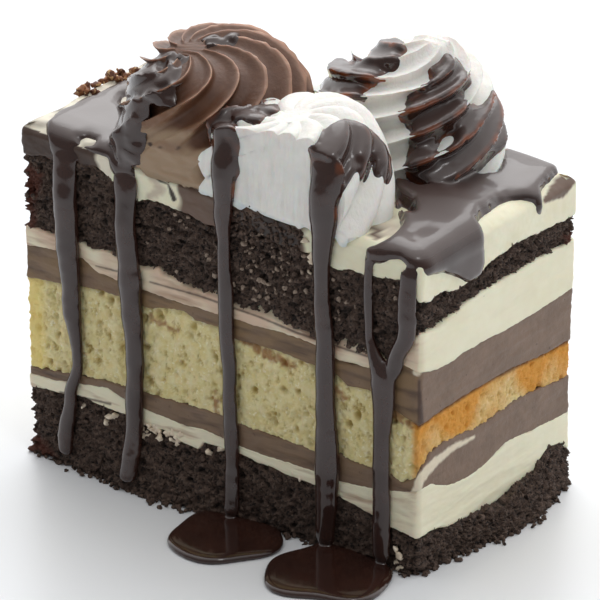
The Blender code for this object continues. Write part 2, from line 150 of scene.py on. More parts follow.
def between(places, values, at):
    """Eased step from place to place."""
    for k in range(len(places) - 1):
        if at <= places[k + 1] or k == len(places) - 2:
            part = min(max((at - places[k]) / (places[k + 1] - places[k]), 0.0), 1.0)
            part = part * part * (3 - 2 * part)
            return values[k] + (values[k + 1] - values[k]) * part
    return values[-1]


def nearness(x, y):
    return max(0.0, 1.0 - min(HALF_L - abs(x), HALF_D - abs(y)) / BAND)


def layer_top(name, x, y):
    """Height of a layer's top: a sloping plane inside, the wavy line at the faces."""
    if name == "floor":
        return 0.0
    if name == "icing":
        return icing_top(x, y)
    front, right = FRONT_LINES[name], RIGHT_LINES[name]
    u = min(max(x / LENGTH + 0.5, 0.0), 1.0)
    inside = front[0][1] * (1 - u) + right[-1][1] * u
    near = nearness(x, y)
    if near == 0.0:
        return inside
    gaps = (HALF_D + y, HALF_L - x, HALF_D - y, HALF_L + x)
    side = gaps.index(min(gaps))
    if side == 0:
        face = along_line(front, x)
    elif side == 1:
        face = along_line(right, y)
    else:
        face = inside if side == 2 else front[0][1]
    return inside + (face - inside) * near


def icing_top(x, y):
    c = ICING_CORNERS
    along = (c["front_right"] + c["back_right"] - c["front_left"] - c["back_left"]) / (2 * LENGTH)
    across = (c["back_left"] + c["back_right"] - c["front_left"] - c["front_right"]) / (2 * DEPTH)
    inside = sum(c.values()) / 4 + along * x + across * y
    u, v = x / LENGTH + 0.5, y / DEPTH + 0.5
    front = c["front_left"] * (1 - u) + c["front_right"] * u
    back = c["back_left"] * (1 - u) + c["back_right"] * u
    return inside + (front * (1 - v) + back * v - inside) * nearness(x, y)


left, right = icing_top(-HALF_L, -HALF_D), icing_top(HALF_L, -HALF_D)
print("icing is", left, "mm up at the left and", right, "at the right")

# %% [markdown]
# Small helpers. `wave` is a smooth noise along a line. `as_piece` turns arrays of corners and faces into an
# object whose place is in its mesh, which is how this frame wants every piece.

# %% Helpers
def wave(x, y=0.0, z=0.0, size=5.0, seed=0.0):
    """Smooth noise from -1 to 1 whose bumps are about `size` millimetres."""
    return noise.noise(Vector((x / size + seed * 17.3, y / size - seed * 5.1, z / size + seed * 3.7)))


def linked(name, mesh):
    piece = bpy.data.objects.new(name, mesh)
    bpy.context.scene.collection.objects.link(piece)
    return piece


def as_piece(name, corners, faces):
    mesh = bpy.data.meshes.new(name)
    mesh.from_pydata((np.asarray(corners) * MM).tolist(), [], [list(map(int, face)) for face in faces])
    shape = bmesh.new()
    shape.from_mesh(mesh)
    bmesh.ops.remove_doubles(shape, verts=shape.verts, dist=0.000001)
    bmesh.ops.recalc_face_normals(shape, faces=shape.faces)
    if shape.calc_volume(signed=True) < 0:
        bmesh.ops.reverse_faces(shape, faces=shape.faces)
    shape.to_mesh(mesh)
    shape.free()
    mesh.polygons.foreach_set("use_smooth", [True] * len(mesh.polygons))
    return linked(name, mesh)


def stacked(levels, sides):
    """Faces of a closed form made of rings, one above another, with a cap at each end."""
    faces = []
    for j in range(levels - 1):
        for k in range(sides):
            n = (k + 1) % sides
            faces.append((j * sides + k, j * sides + n, (j + 1) * sides + n, (j + 1) * sides + k))
    faces.append(tuple(reversed(range(sides))))
    faces.append(tuple(range((levels - 1) * sides, levels * sides)))
    return faces


def give(piece, name, values):
    """Store one number for each corner, for the material to read."""
    layer = piece.data.attributes.new(name, "FLOAT", "POINT")
    layer.data.foreach_set("value", np.asarray(values, dtype=np.float32))


def corners_of(piece):
    flat = np.empty(len(piece.data.vertices) * 3)
    piece.data.vertices.foreach_get("co", flat)
    return flat.reshape(-1, 3) / MM


def normals_of(piece):
    flat = np.empty(len(piece.data.vertices) * 3)
    piece.data.vertices.foreach_get("normal", flat)
    return flat.reshape(-1, 3)


def settle(piece, material, nodes):
    piece.data.materials.clear()
    piece.data.materials.append(material)
    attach(piece, "root")
    if nodes:
        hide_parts(*nodes)
    print(piece.name, len(piece.data.polygons), "faces")


def gap_to(px, py, start, stop):
    """How far places of the picture lie from a line, and the nearest point on it, from 0 to 1."""
    (ax, ay), (bx, by) = start, stop
    along = ((px - ax) * (bx - ax) + (py - ay) * (by - ay)) / ((bx - ax) ** 2 + (by - ay) ** 2)
    along = np.clip(along, 0, 1)
    return np.hypot(px - ax - along * (bx - ax), py - ay - along * (by - ay)), along


def stroke_field(px, py, strokes):
    """How far inside the nearest stroke a place lies. A stroke chains (x, y, half width), in pixels."""
    best = np.full(len(px), -99.0)
    for chain in strokes:
        for (ax, ay, start), (bx, by, stop) in zip(chain, chain[1:]):
            gap, along = gap_to(px, py, (ax, ay), (bx, by))
            best = np.maximum(best, start + (stop - start) * along - gap)
    return best


def outline_field(px, py, outline):
    """How far inside an outline a place of the picture lies, in pixels; less than zero outside."""
    inside = np.zeros(len(px), dtype=bool)
    gap = np.full(len(px), 99.0)
    for (ax, ay), (bx, by) in zip(outline, outline[1:] + outline[:1]):
        gap = np.minimum(gap, gap_to(px, py, (ax, ay), (bx, by))[0])
        if ay != by:
            inside ^= ((ay > py) != (by > py)) & (px < (bx - ax) * (py - ay) / (by - ay) + ax)
    return np.where(inside, gap, -gap)


def wobble(spots, size, seed):
    return np.array([wave(p[0], p[1], p[2], size, seed) for p in spots])


def marked(spots, strokes=(), outlines=(), soft=1.5, rough=1.5, seed=0.0):
    """0 to 1 where marks of the picture cover the places, with a ragged border. The back face takes none."""
    px, py = picture(spots)
    field = stroke_field(px, py, strokes)
    for outline in outlines:
        field = np.maximum(field, outline_field(px, py, outline))
    near = field > -6
    field[near] += rough * wobble(spots[near], 1.2, seed)
    behind = (spots[:, 1] > HALF_D - 3.0) & (spots[:, 0] < HALF_L - 1.5)
    return np.where(behind, 0.0, np.clip(field / soft + 0.5, 0, 1))


# %% [markdown]
# Materials and relief are both trees of nodes, so they share a few helpers. `node` adds one node and gives
# each named input a value or a link. `group` opens a tree with named inputs and outputs. With these, a tree
# reads like a sum.

# %% Node helpers
def wire(tree, source, target):
    tree.links.new(source, target)


def node(tree, kind, inputs=None, **settings):
    """Add a node, set its settings, and give each input that is named a value or a link."""
    made = tree.nodes.new(kind)
    for key, value in settings.items():
        setattr(made, key, value)
    for label, value in (inputs or {}).items():
        if isinstance(value, bpy.types.NodeSocket):
            wire(tree, value, made.inputs[label])
        else:
            made.inputs[label].default_value = value
    return made


def group(name, kind, inputs, outputs):
    """Open a node tree with named sockets, and return it with what it is given and what it puts out."""
    tree = bpy.data.node_groups.new(name, kind)
    for label, sort, value in inputs:
        socket = tree.interface.new_socket(label, in_out="INPUT", socket_type="NodeSocket" + sort)
        if value is not None:
            socket.default_value = value
    for label, sort in outputs:
        tree.interface.new_socket(label, in_out="OUTPUT", socket_type="NodeSocket" + sort)
    return tree, tree.nodes.new("NodeGroupInput").outputs, tree.nodes.new("NodeGroupOutput").inputs


def calculate(tree, operation, *values, vector=False):
    kind = "ShaderNodeVectorMath" if vector else "ShaderNodeMath"
    return node(tree, kind, dict(enumerate(values)), operation=operation).outputs[0]


def cloud(tree, vector, scale, detail=3.0, rough=0.6):
    """Noise from 0 to 1."""
    return node(tree, "ShaderNodeTexNoise", {"Vector": vector, "Scale": scale, "Detail": detail,
                                             "Roughness": rough}).outputs["Fac"]


def spread(tree, value, low, high, kind="LINEAR"):
    """0 to 1 as a value goes from low to high."""
    return node(tree, "ShaderNodeMapRange", {"Value": value, "From Min": low, "From Max": high},
                interpolation_type=kind).outputs["Result"]


# %% [markdown]
# Two effects are used by many finishes, so each is a shader node group with named sockets. `Mottle` mixes
# two colours in soft patches. `Grain` gives a fine height for a Bump node.

# %% Shader groups
mottle, given, out = group(
    "Mottle", "ShaderNodeTree",
    [("Colour", "Color", (1, 1, 1, 1)), ("Patches", "Color", (0, 0, 0, 1)), ("Scale", "Float", 300.0),
     ("Share", "Float", 0.5), ("Softness", "Float", 0.1)], [("Colour", "Color")])
place = node(mottle, "ShaderNodeTexCoord").outputs["Object"]
patch = spread(mottle, cloud(mottle, place, given["Scale"], 4.0, 0.6),
               calculate(mottle, "SUBTRACT", given["Share"], given["Softness"]),
               calculate(mottle, "ADD", given["Share"], given["Softness"]), "SMOOTHSTEP")
blend = node(mottle, "ShaderNodeMix", {"Factor": patch, "A": given["Colour"], "B": given["Patches"]},
             data_type="RGBA")
wire(mottle, blend.outputs["Result"], out["Colour"])

grain, given, out = group(
    "Grain", "ShaderNodeTree", [("Scale", "Float", 900.0), ("Stretch", "Vector", (1, 1, 1))],
    [("Height", "Float")])
place = node(grain, "ShaderNodeTexCoord").outputs["Object"]
bent = calculate(grain, "MULTIPLY", place, given["Stretch"], vector=True)
wire(grain, cloud(grain, bent, given["Scale"], 5.0, 0.65), out["Height"])
print("shader groups:", mottle.name, grain.name)


# %% [markdown]
# Every finish starts from the same recipe: a Principled shader, a mottled colour and a fine bump. A finish
# can then mix in further colours where a stored number of the mesh asks for it, such as painted shade in
# the holes of the crumb or `brown` where chocolate is smeared into the icing.

# %% Finish recipe
FILM_ROUGHNESS, SCATTER_DEPTH, SPECKLE_EDGE = 0.08, 0.002, 0.03


def srgb(colour):
    """A colour as seen on screen, from 0 to 255, as the shader's linear numbers."""
    return tuple(((v / 255 + 0.055) / 1.055) ** 2.4 if v > 10 else v / 255 / 12.92 for v in colour) + (1,)


def stored_value(tree, name):
    return node(tree, "ShaderNodeAttribute", attribute_name=name).outputs["Fac"]


def finish(name, colour, patches, scale, share=0.5, softness=0.2, roughness=0.6, grain_scale=900.0,
           stretch=(1, 1, 1), bump=0.3, bump_depth=0.0003, subsurface=0.0, coat=0.0, ior=1.45, speckles=(),
           mixes=None, dull=None):
    """A food finish. `mixes` gives the colour that a stored number brings in, `dull` the roughness."""
    made = bpy.data.materials.new(name)
    made.use_nodes = True
    tree = made.node_tree
    shader = tree.nodes["Principled BSDF"]
    for label, value in (("Roughness", roughness), ("IOR", ior), ("Coat Weight", coat),
                         ("Coat Roughness", FILM_ROUGHNESS), ("Subsurface Weight", subsurface),
                         ("Subsurface Scale", SCATTER_DEPTH)):
        shader.inputs[label].default_value = value
    last = srgb(colour)
    layers = [(patches, scale, share, softness)] + [speckle + (SPECKLE_EDGE,) for speckle in speckles]
    for other, size, part, edge in layers:
        last = node(tree, "ShaderNodeGroup", {
            "Colour": last, "Patches": srgb(other), "Scale": size, "Share": part, "Softness": edge},
            node_tree=mottle).outputs["Colour"]
    for attribute, other in (mixes or {}).items():
        last = node(tree, "ShaderNodeMix", {
            "Factor": stored_value(tree, attribute), "A": last, "B": srgb(other)},
            data_type="RGBA").outputs["Result"]
    wire(tree, last, shader.inputs["Base Color"])
    if dull:
        attribute, most = dull
        level = node(tree, "ShaderNodeMapRange", {"Value": stored_value(tree, attribute), "To Min": roughness,
                                                  "To Max": most})
        wire(tree, level.outputs["Result"], shader.inputs["Roughness"])
    fine = node(tree, "ShaderNodeGroup", {"Scale": grain_scale, "Stretch": stretch}, node_tree=grain)
    lift = node(tree, "ShaderNodeBump", {
        "Strength": bump, "Distance": bump_depth, "Height": fine.outputs["Height"]})
    wire(tree, lift.outputs["Normal"], shader.inputs["Normal"])
    return made


# In both crumbs, the colour mixed in by pore depth is painted shade in the holes, and the one mixed in by
# lump height is a painted highlight on the raised lumps, partly lighter crumb.
dark_crumb = finish(
    "dark_crumb", (84, 66, 56), (108, 88, 76), 900, 0.55, 0.08, roughness=0.7, grain_scale=1900, bump=1.0,
    bump_depth=0.0007, speckles=[((26, 18, 16), 1500, 0.57), ((138, 120, 106), 2100, 0.66)],
    mixes={"light": (118, 100, 88), "pit": (16, 11, 9), "rust": (96, 44, 26)})
yellow_crumb = finish(
    "yellow_crumb", (230, 213, 148), (240, 228, 178), 380, roughness=0.75, grain_scale=1500, bump=0.8,
    bump_depth=0.0005, subsurface=0.15, speckles=[((196, 172, 98), 900, 0.64), ((247, 238, 200), 900, 0.62)],
    mixes={"light": (244, 232, 190), "pit": (168, 142, 70), "stain": (150, 96, 52), "rind": (252, 228, 142),
           "crust": (222, 152, 54), "seam": (84, 44, 28)})
# The ivory cream and the mousse take a colour on the front face only. On the cream it is painted shade with a
# pinkish tint of smeared chocolate, and on the mousse a warmer tint. Their darker streak colour is painted
# shade in the sunken streaks.
ivory_cream = finish(
    "ivory_cream", (238, 233, 206), (233, 227, 198), 110, roughness=0.42, grain_scale=500,
    stretch=(0.4, 0.4, 1.6), bump=0.15, subsurface=0.2,
    mixes={"front_shade_and_tint": (214, 188, 164), "shade": (176, 146, 122), "stain": (70, 50, 42)})
mousse = finish(
    "mousse", (114, 92, 76), (126, 103, 86), 200, roughness=0.5, grain_scale=520, bump=0.55,
    bump_depth=0.0004, subsurface=0.1, speckles=[((84, 64, 54), 700, 0.68)],
    mixes={"front_shade_and_tint": (132, 106, 74), "shade": (84, 64, 50), "pale": (224, 212, 188), "stain": (58, 38, 32)})
icing_cream = finish(
    "icing_cream", (238, 234, 208), (232, 226, 196), 160, roughness=0.4, grain_scale=500, bump=0.15,
    subsurface=0.2, mixes={"pink": (166, 142, 132), "brown": (104, 82, 68), "crumbly": (52, 40, 34),
                           "crack": (54, 46, 36)})
chocolate_butter = finish(
    "chocolate_butter", (63, 46, 37), (74, 56, 46), 220, roughness=0.45, grain_scale=700, subsurface=0.05,
    mixes={"stain": (56, 42, 36), "pale": (230, 222, 202)})
# On the chocolate rosette, the light colour on the ridge tops and along the edge of the cut is a painted
# highlight.
chocolate_swirl = finish(
    "chocolate_swirl", (90, 59, 42), (102, 69, 50), 300, roughness=0.5, bump=0.45, subsurface=0.1,
    speckles=[((80, 54, 42), 800, 0.70)],
    mixes={"crest_highlight": (214, 172, 146), "face": (122, 88, 64), "pale": (164, 140, 114), "stain": (60, 40, 32)})
white_swirl = finish(
    "white_swirl", (244, 242, 236), (237, 235, 229), 250, roughness=0.45, grain_scale=700,
    stretch=(1.6, 1.6, 0.15), bump=0.6, bump_depth=0.0005, subsurface=0.25)
print("finishes:", len(bpy.data.materials))


# %% [markdown]
# Crumb is relief that follows a rule, so Geometry Nodes make it. The tree pushes each point of a wall in or
# out: rounded pores from a Voronoi texture, and rough lumps from noise. It also stores how deep the point
# lies, so that the finish can paint shade into the holes, and how high a lump stands, for a painted
# highlight on the raised lumps, partly lighter crumb. A second tree does the smears of the creams, with noise
# that is stretched along the layer, and stores the sunken streaks as `shade`, for painted shade in them.

# %% Relief trees
def relief_group(name, inputs):
    inputs = [("Geometry", "Geometry", None)] + inputs + [("Material", "Material", None)]
    return group(name, "GeometryNodeTree", inputs, [("Geometry", "Geometry")])


def keep_number(tree, geometry, name, value):
    return node(tree, "GeometryNodeStoreNamedAttribute", {"Geometry": geometry, "Name": name, "Value": value},
                data_type="FLOAT").outputs[0]


def ending(tree, geometry, push, material, out):
    """Push every point along its normal, make instances real and set the finish."""
    outwards = node(tree, "GeometryNodeInputNormal").outputs[0]
    offset = node(tree, "ShaderNodeVectorMath", {0: outwards, "Scale": push}, operation="SCALE").outputs[0]
    moved = node(tree, "GeometryNodeSetPosition", {"Geometry": geometry, "Offset": offset}).outputs[0]
    real = node(tree, "GeometryNodeRealizeInstances", {0: moved}).outputs[0]
    dress = node(tree, "GeometryNodeSetMaterial", {"Geometry": real, "Material": material}).outputs[0]
    wire(tree, dress, out[0])


crumb_tree, given, out = relief_group("Open crumb", [
    ("Pore Size", "Float", 0.002), ("Pore Depth", "Float", 0.0006), ("Lump Size", "Float", 0.0015),
    ("Lump Height", "Float", 0.0005), ("Stretch", "Vector", (1, 1, 1))])
spot = node(crumb_tree, "GeometryNodeInputPosition").outputs[0]
bent = calculate(crumb_tree, "MULTIPLY", spot, given["Stretch"], vector=True)
cells = node(crumb_tree, "ShaderNodeTexVoronoi", {
    "Vector": bent, "Scale": calculate(crumb_tree, "DIVIDE", 1.0, given["Pore Size"]), "Randomness": 1.0},
    feature="SMOOTH_F1").outputs["Distance"]
pores = calculate(crumb_tree, "MULTIPLY", spread(crumb_tree, cells, 0.36, 0.12, "SMOOTHSTEP"),
                  spread(crumb_tree, cloud(crumb_tree, spot, 260.0, 2.0), 0.42, 0.58))
lumps = cloud(crumb_tree, bent, calculate(crumb_tree, "DIVIDE", 1.0, given["Lump Size"]), 4.0, 0.62)
lumps = calculate(crumb_tree, "SUBTRACT", lumps, 0.5)
fine = cloud(crumb_tree, bent, calculate(crumb_tree, "DIVIDE", 3.2, given["Lump Size"]), 3.0, 0.7)
lumps = calculate(crumb_tree, "MULTIPLY_ADD", calculate(crumb_tree, "SUBTRACT", fine, 0.5), 0.55, lumps)
push = calculate(crumb_tree, "MULTIPLY", lumps, calculate(crumb_tree, "MULTIPLY", given["Lump Height"], 2.0))
push = calculate(crumb_tree, "SUBTRACT", push, calculate(crumb_tree, "MULTIPLY", pores, given["Pore Depth"]))
depth = calculate(crumb_tree, "MAXIMUM", pores, spread(crumb_tree, lumps, -0.05, -0.22))
# Painted shade: how deep a point lies in a pore or hollow. Painted highlight, partly lighter crumb: how high
# a lump stands.
kept = keep_number(crumb_tree, given["Geometry"], "pit", depth)
kept = keep_number(crumb_tree, kept, "light", spread(crumb_tree, lumps, 0.10, 0.30))
ending(crumb_tree, kept, push, given["Material"], out)

smear_tree, given, out = relief_group("Smeared cream", [
    ("Streak Size", "Float", 0.003), ("Height", "Float", 0.0004), ("Stretch", "Vector", (0.25, 0.25, 1.6))])
spot = node(smear_tree, "GeometryNodeInputPosition").outputs[0]
bent = calculate(smear_tree, "MULTIPLY", spot, given["Stretch"], vector=True)
streaks = cloud(smear_tree, bent, calculate(smear_tree, "DIVIDE", 1.0, given["Streak Size"]), 3.0, 0.55)
streaks = calculate(smear_tree, "SUBTRACT", streaks, 0.5)
push = calculate(smear_tree, "MULTIPLY", streaks, calculate(smear_tree, "MULTIPLY", given["Height"], 2.0))
kept = keep_number(smear_tree, given["Geometry"], "shade", spread(smear_tree, streaks, -0.02, -0.2))
ending(smear_tree, kept, push, given["Material"], out)


def grow_relief(piece, tree, **values):
    """Run a tree on a piece and keep the result as a plain mesh."""
    step = piece.modifiers.new(tree.name, "NODES")
    step.node_group = tree
    for item in tree.interface.items_tree:
        if item.in_out == "INPUT" and item.name in values:
            step[item.identifier] = values[item.name]
    made = bpy.data.meshes.new_from_object(piece.evaluated_get(bpy.context.evaluated_depsgraph_get()))
    piece.modifiers.clear()
    piece.data = made
    made.polygons.foreach_set("use_smooth", [True] * len(made.polygons))


print("relief trees:", crumb_tree.name, smear_tree.name)


# %% [markdown]
# The layers. On the real slice a knife has cut both faces, so each layer shows as a band with a ragged
# border. One helper walks round the slice and builds a wall from the layer below up to this layer's top, in
# fine steps. A sponge sits back a little and a cream bulges, because the knife drags it.

# %% Walk round the slice
FINE, COARSE = 0.36, 0.9
BASE_HEIGHT = 17.0
LOW_INSETS, HIGH_INSETS = (31.0, 20.0, 9.0, 3.0), (3.0, 9.0, 20.0, 31.0)


def walk(x0, x1):
    """Points round the outline with worn corners, closer on the cut faces, and the way out at each."""
    radius = 1.3
    path = []
    corners = ((x1, -HALF_D), (x1, HALF_D), (x0, HALF_D), (x0, -HALF_D))
    starts = ((x0, -HALF_D), (x1, -HALF_D), (x1, HALF_D), (x0, HALF_D))
    ways = ((1, 0), (0, 1), (-1, 0), (0, -1))
    for start, corner, way in zip(starts, corners, ways):
        out = (way[1], -way[0])
        length = abs(corner[0] - start[0]) + abs(corner[1] - start[1])
        shown = way == (1, 0) or (way == (0, 1) and x1 == HALF_L)
        count = max(2, int((length - 2 * radius) / (FINE if shown else COARSE)))
        for k in range(count):
            run = radius + (length - 2 * radius) * k / count
            path.append((start[0] + way[0] * run, start[1] + way[1] * run, out[0], out[1]))
        centre = (corner[0] - (way[0] + out[0]) * radius, corner[1] - (way[1] + out[1]) * radius)
        for k in range(4):
            turn = math.pi / 2 * k / 4
            nx = out[0] * math.cos(turn) + way[0] * math.sin(turn)
            ny = out[1] * math.cos(turn) + way[1] * math.sin(turn)
            path.append((centre[0] + nx * radius, centre[1] + ny * radius, nx, ny))
    return path


def base_bulge(x, y, z, out_x, out_y):
    """The dark base is squashed outwards at its foot."""
    foot = max(0.0, 1 - z / BASE_HEIGHT) ** 1.3
    return (max(0.0, -out_y) * 4.2 * foot * math.exp(-((x + 16) / 24) ** 2)
            + max(0.0, out_x) * 6.5 * foot * math.exp(-((y - 6) / 20) ** 2)
            + max(0.0, -out_x) * (0.6 - 3.2 * math.sin(math.pi * min(z / BASE_HEIGHT, 1.0))))


LEFT_END = ((0, 0.3), (15, -0.2), (20, -0.9), (25, -0.9), (46, -0.5), (54, -1.7), (60, -2.2), (76, -2.4),
            (80, -0.4), (90, 0.0))


def wall(name, under, over, seat, ragged, reach=None, x0=-HALF_L, x1=HALF_L, caps=HIGH_INSETS,
         round_top=0.5, seed=1.0):
    """One layer, as a closed form: a flat underside, a wall of fine rows, and a top."""
    path = walk(x0, x1)
    thick = max(layer_top(over, x, y) - layer_top(under, x, y) for x, y, _, _ in path[::20])
    rows = max(8, int(thick / FINE))
    corners = []

    def heights(x, y):
        low, high = layer_top(under, x, y), layer_top(over, x, y)
        if low > 0:
            low += ragged * (wave(x, y, 0, 4.0, seed) + 0.7 * wave(x, y, 0, 1.1, seed)) - 0.3
        if over != "icing":
            high += ragged * (wave(x, y, 9, 4.0, seed + 1) + 0.7 * wave(x, y, 9, 1.1, seed + 1)) + 0.3
        return low, max(high, low + 0.8)

    edges = [heights(x, y) for x, y, _, _ in path]
    profile = [(inset, 0.0) for inset in LOW_INSETS if inset < (x1 - x0) / 2]
    profile += [(None, k / rows) for k in range(rows + 1)]
    profile += [(inset, 1.0) for inset in caps]
    for inset, part in profile:
        ring = []
        for (x, y, nx, ny), (low, high) in zip(path, edges):
            if inset is None:
                z = low + (high - low) * part
                tuck = 0.5 * max(0.0, 1 - (z - low) / 0.5) ** 2
                tuck += round_top * max(0.0, 1 - (high - z) / round_top) ** 2
                push = seat - tuck + (reach(x, y, z, nx, ny) if reach else 0.0)
                push += max(0.0, -nx) * (along_line(LEFT_END, z) + 0.7 * wave(0, y, z, 3.0, seed + 5))
                ring.append((x + nx * push, y + ny * push, z))
            else:
                px, py = min(max(x, x0 + inset), x1 - inset), min(max(y, inset - HALF_D), HALF_D - inset)
                ring.append((px, py, layer_top(under if part == 0.0 else over, px, py)))
        corners += ring
    return as_piece(name, corners, stacked(len(profile), len(path)))


# %% Sponges
def face_parts(spots):
    """How much each place belongs to the front face and to the right face."""
    front = np.clip((-spots[:, 1] - HALF_D + 2.5) / 1.2, 0, 1)
    right = np.clip((spots[:, 0] - HALF_L + 2.5) / 1.2, 0, 1)
    return front * (1 - 0.8 * right * (spots[:, 0] > HALF_L - 0.4)), right


def below_top(spots, name):
    return np.array([layer_top(name, p[0], p[1]) for p in spots]) - spots[:, 2]


RED_CRUMB = [[(16, 165, 9), (34, 178, 8), (28, 200, 7), (30, 225, 5)], [(22, 432, 10), (40, 448, 8),
              (60, 470, 4)],
             [(569, 236, 6), (574, 246, 5)]]
STAINED_SPONGE = [[(218, 318, 3), (240, 335, 3), (262, 352, 4), (292, 366, 3)], [(150, 318, 2),
                   (175, 330, 2)],
                  [(330, 385, 4), (345, 398, 2)], [(396, 415, 5), (410, 425, 3)], [(215, 395, 2),
                   (216, 412, 2)]]
SPONGES = [
    ("base_crumb", "floor", "base_sponge", -0.5, base_bulge, dark_crumb, "dark_sponge"),
    ("yellow_crumb", "lower_mousse", "yellow_sponge", -0.4, None, yellow_crumb, "yellow_sponge"),
    ("top_crumb", "upper_white_cream", "top_sponge", -0.6, None, dark_crumb, "dark_sponge"),
]
for seed, (name, under, over, seat, reach, skin, slot) in enumerate(SPONGES, 1):
    piece = wall(name, under, over, seat, 0.5, reach, seed=seed * 3.0)
    dark = skin is dark_crumb
    grow_relief(piece, crumb_tree, **{
        "Pore Size": 0.0021 if dark else 0.0031, "Pore Depth": 0.0012 if dark else 0.0010,
        "Lump Size": 0.0023 if dark else 0.0026, "Lump Height": 0.0026 if dark else 0.0010,
        "Stretch": (1.0, 1.0, 1.25 if dark else 0.8), "Material": skin})
    for vert in piece.data.vertices:
        vert.co.z = max(vert.co.z, 0.0)
    spots = corners_of(piece)
    if dark:
        end = np.clip((-spots[:, 0] - 55.5) / 1.5, 0, 1) * 0.5
        give(piece, "rust", np.maximum(end, 0.75 * marked(spots, RED_CRUMB, soft=6, rough=4, seed=3)))
    else:
        front, right = face_parts(spots)
        rough = wobble(spots, 9.0, 4)
        give(piece, "crust", right * np.clip(0.80 + 0.9 * rough + (spots[:, 2] - 30) * 0.05, 0, 0.95))
        give(piece, "seam", np.clip(1.3 - below_top(spots, over) / 0.9, 0, 1) * (0.25 + 0.6 * right))
        give(piece, "rind", np.clip((-50.0 - spots[:, 0]) / 4.0, 0, 0.8))
        give(piece, "stain", 0.8 * marked(spots, STAINED_SPONGE, soft=4, rough=5, seed=8))
    settle(piece, skin, [over])

# %% Creams and mousses
WHITE_TONGUE = [[(415, 494, 4.5), (421, 478, 4.5), (436, 461, 3.8), (454, 447, 2.8), (474, 437, 1.2)]]
CORNER_SMEAR = [[(417, 372, 4), (423, 352, 5), (428, 338, 2)]]
CORNER_CRUMB = [[(419, 382, 1.5), (420, 402, 2.5), (421, 422, 3)]]
CREAM_LINE = [[(150, 282, 0.8), (200, 296, 1.0), (262, 318, 1.0), (300, 334, 1.2), (372, 358, 1.0)],
              [(96, 266, 0.6), (120, 272, 1.0)], [(60, 392, 1.0), (110, 404, 1.2)]]
CREAMS = [
    ("lower_ivory_cream", "base_sponge", "lower_white_cream", 0.15, ivory_cream, "white_cream", 0.15),
    ("lower_smooth_mousse", "lower_white_cream", "lower_mousse", 0.0, mousse, "mousse", 0.4),
    ("upper_smooth_mousse", "yellow_sponge", "upper_mousse", 0.0, mousse, "mousse", 0.9),
    ("upper_ivory_cream", "upper_mousse", "upper_white_cream", 0.15, ivory_cream, "white_cream", 1.0),
]
for seed, (name, under, over, seat, skin, slot, front_shade_and_tint) in enumerate(CREAMS, 1):
    piece = wall(name, under, over, seat, 0.3, None, seed=seed * 5.0 + 1, round_top=0.5)
    grow_relief(piece, smear_tree, **{"Streak Size": 0.0042, "Height": 0.00045, "Material": skin})
    spots = corners_of(piece)
    front, right = face_parts(spots)
    shade = np.empty(len(spots))
    piece.data.attributes["shade"].data.foreach_get("value", shade)
    # Front face only: painted shade with a pinkish tint of smeared chocolate on the creams, and a warmer tint
    # on the mousses. The painted shade of the sunken streaks is kept mostly to the front face.
    give(piece, "front_shade_and_tint", front * front_shade_and_tint * np.clip(0.75 + 0.8 * wobble(spots, 5.0, seed + 7), 0, 1))
    shade *= 0.06 + 0.94 * front
    piece.data.attributes["shade"].data.foreach_set("value", shade.astype(np.float32))
    marks = CORNER_CRUMB if skin is mousse else CREAM_LINE
    give(piece, "stain", 0.8 * marked(spots, marks, soft=1.5, rough=0.4, seed=seed))
    if skin is mousse:
        give(piece, "pale", marked(spots, WHITE_TONGUE + CORNER_SMEAR, soft=1.5, rough=1.0, seed=5))
    settle(piece, skin, [over])

# %% Icing
SEAM, OVERLAP = -30.5, 5.0
SMEAR = {"Streak Size": 0.006, "Height": 0.0006, "Stretch": (0.6, 0.6, 1.2)}
piece = wall("icing_left", "top_sponge", "icing", 0.0, 0.5, None, x1=SEAM + OVERLAP, round_top=2.2, seed=31,
             caps=(3.0, 5.0, 8.0, 12.0))
grow_relief(piece, smear_tree, Material=chocolate_butter, **SMEAR)
spots = corners_of(piece)
top_part = np.clip((np.array([icing_top(p[0], p[1]) for p in spots]) - spots[:, 2] < 1.0) * 1.0, 0, 1)
TAN_PIECE = [[(80, 139, 5), (92, 146, 3)]]
give(piece, "pale", np.maximum.reduce([
    np.clip((spots[:, 0] + 34.0 + 1.2 * wobble(spots, 3.0, 3)) / 1.0, 0, 1),
    top_part * np.clip(0.8 + wobble(spots, 3.0, 5), 0, 1), 0.6 * marked(spots, TAN_PIECE, soft=2, seed=2)]))
near_foot = np.clip(1.4 - (spots[:, 2] - 78.0) / 2.5, 0, 1)
give(piece, "stain", np.clip(wobble(spots, 2.4, 6) * 3 - 0.6, 0, 1) * near_foot)
settle(piece, chocolate_butter, ["icing_chocolate"])

piece = wall("icing_right", "top_sponge", "icing", 0.1, 0.5, None, x0=SEAM, round_top=2.4, seed=37,
             caps=(3.2, 5.0, 8.0, 12.0, 16.0, 20.0, 24.0, 28.0, 31.0))
grow_relief(piece, smear_tree, Material=icing_cream, **SMEAR)
spots = corners_of(piece)
front = np.clip((-spots[:, 1] - HALF_D + 3.5) / 2.0, 0, 1)
wander = 2.0 * wobble(spots, 4.0, 9)
lobes = np.clip((spots[:, 0] + 10.0 + wander) / 1.2, 0, 1)
lobes *= np.clip((26.0 - spots[:, 0] + wander) / 1.2, 0, 1)
BROWN_MARKS = [[(376, 216, 5), (376, 234, 6)], [(148, 164, 4), (186, 176, 9), (190, 190, 8), (215, 198, 7)],
               [(546, 200, 3), (558, 190, 9), (570, 177, 8)]]
PINK_MARKS = [[(388, 214, 8), (392, 232, 9)], [(150, 172, 3), (160, 190, 5), (150, 196, 4)]]
CRACK_MARKS = [[(143, 165, 0.7), (152, 172, 1.1), (160, 181, 1.2), (168, 184, 0.8), (172, 194, 2.2),
                (174, 199, 2.4)]]
give(piece, "brown", np.maximum(front * lobes, marked(spots, BROWN_MARKS, soft=2, rough=1.0, seed=4)))
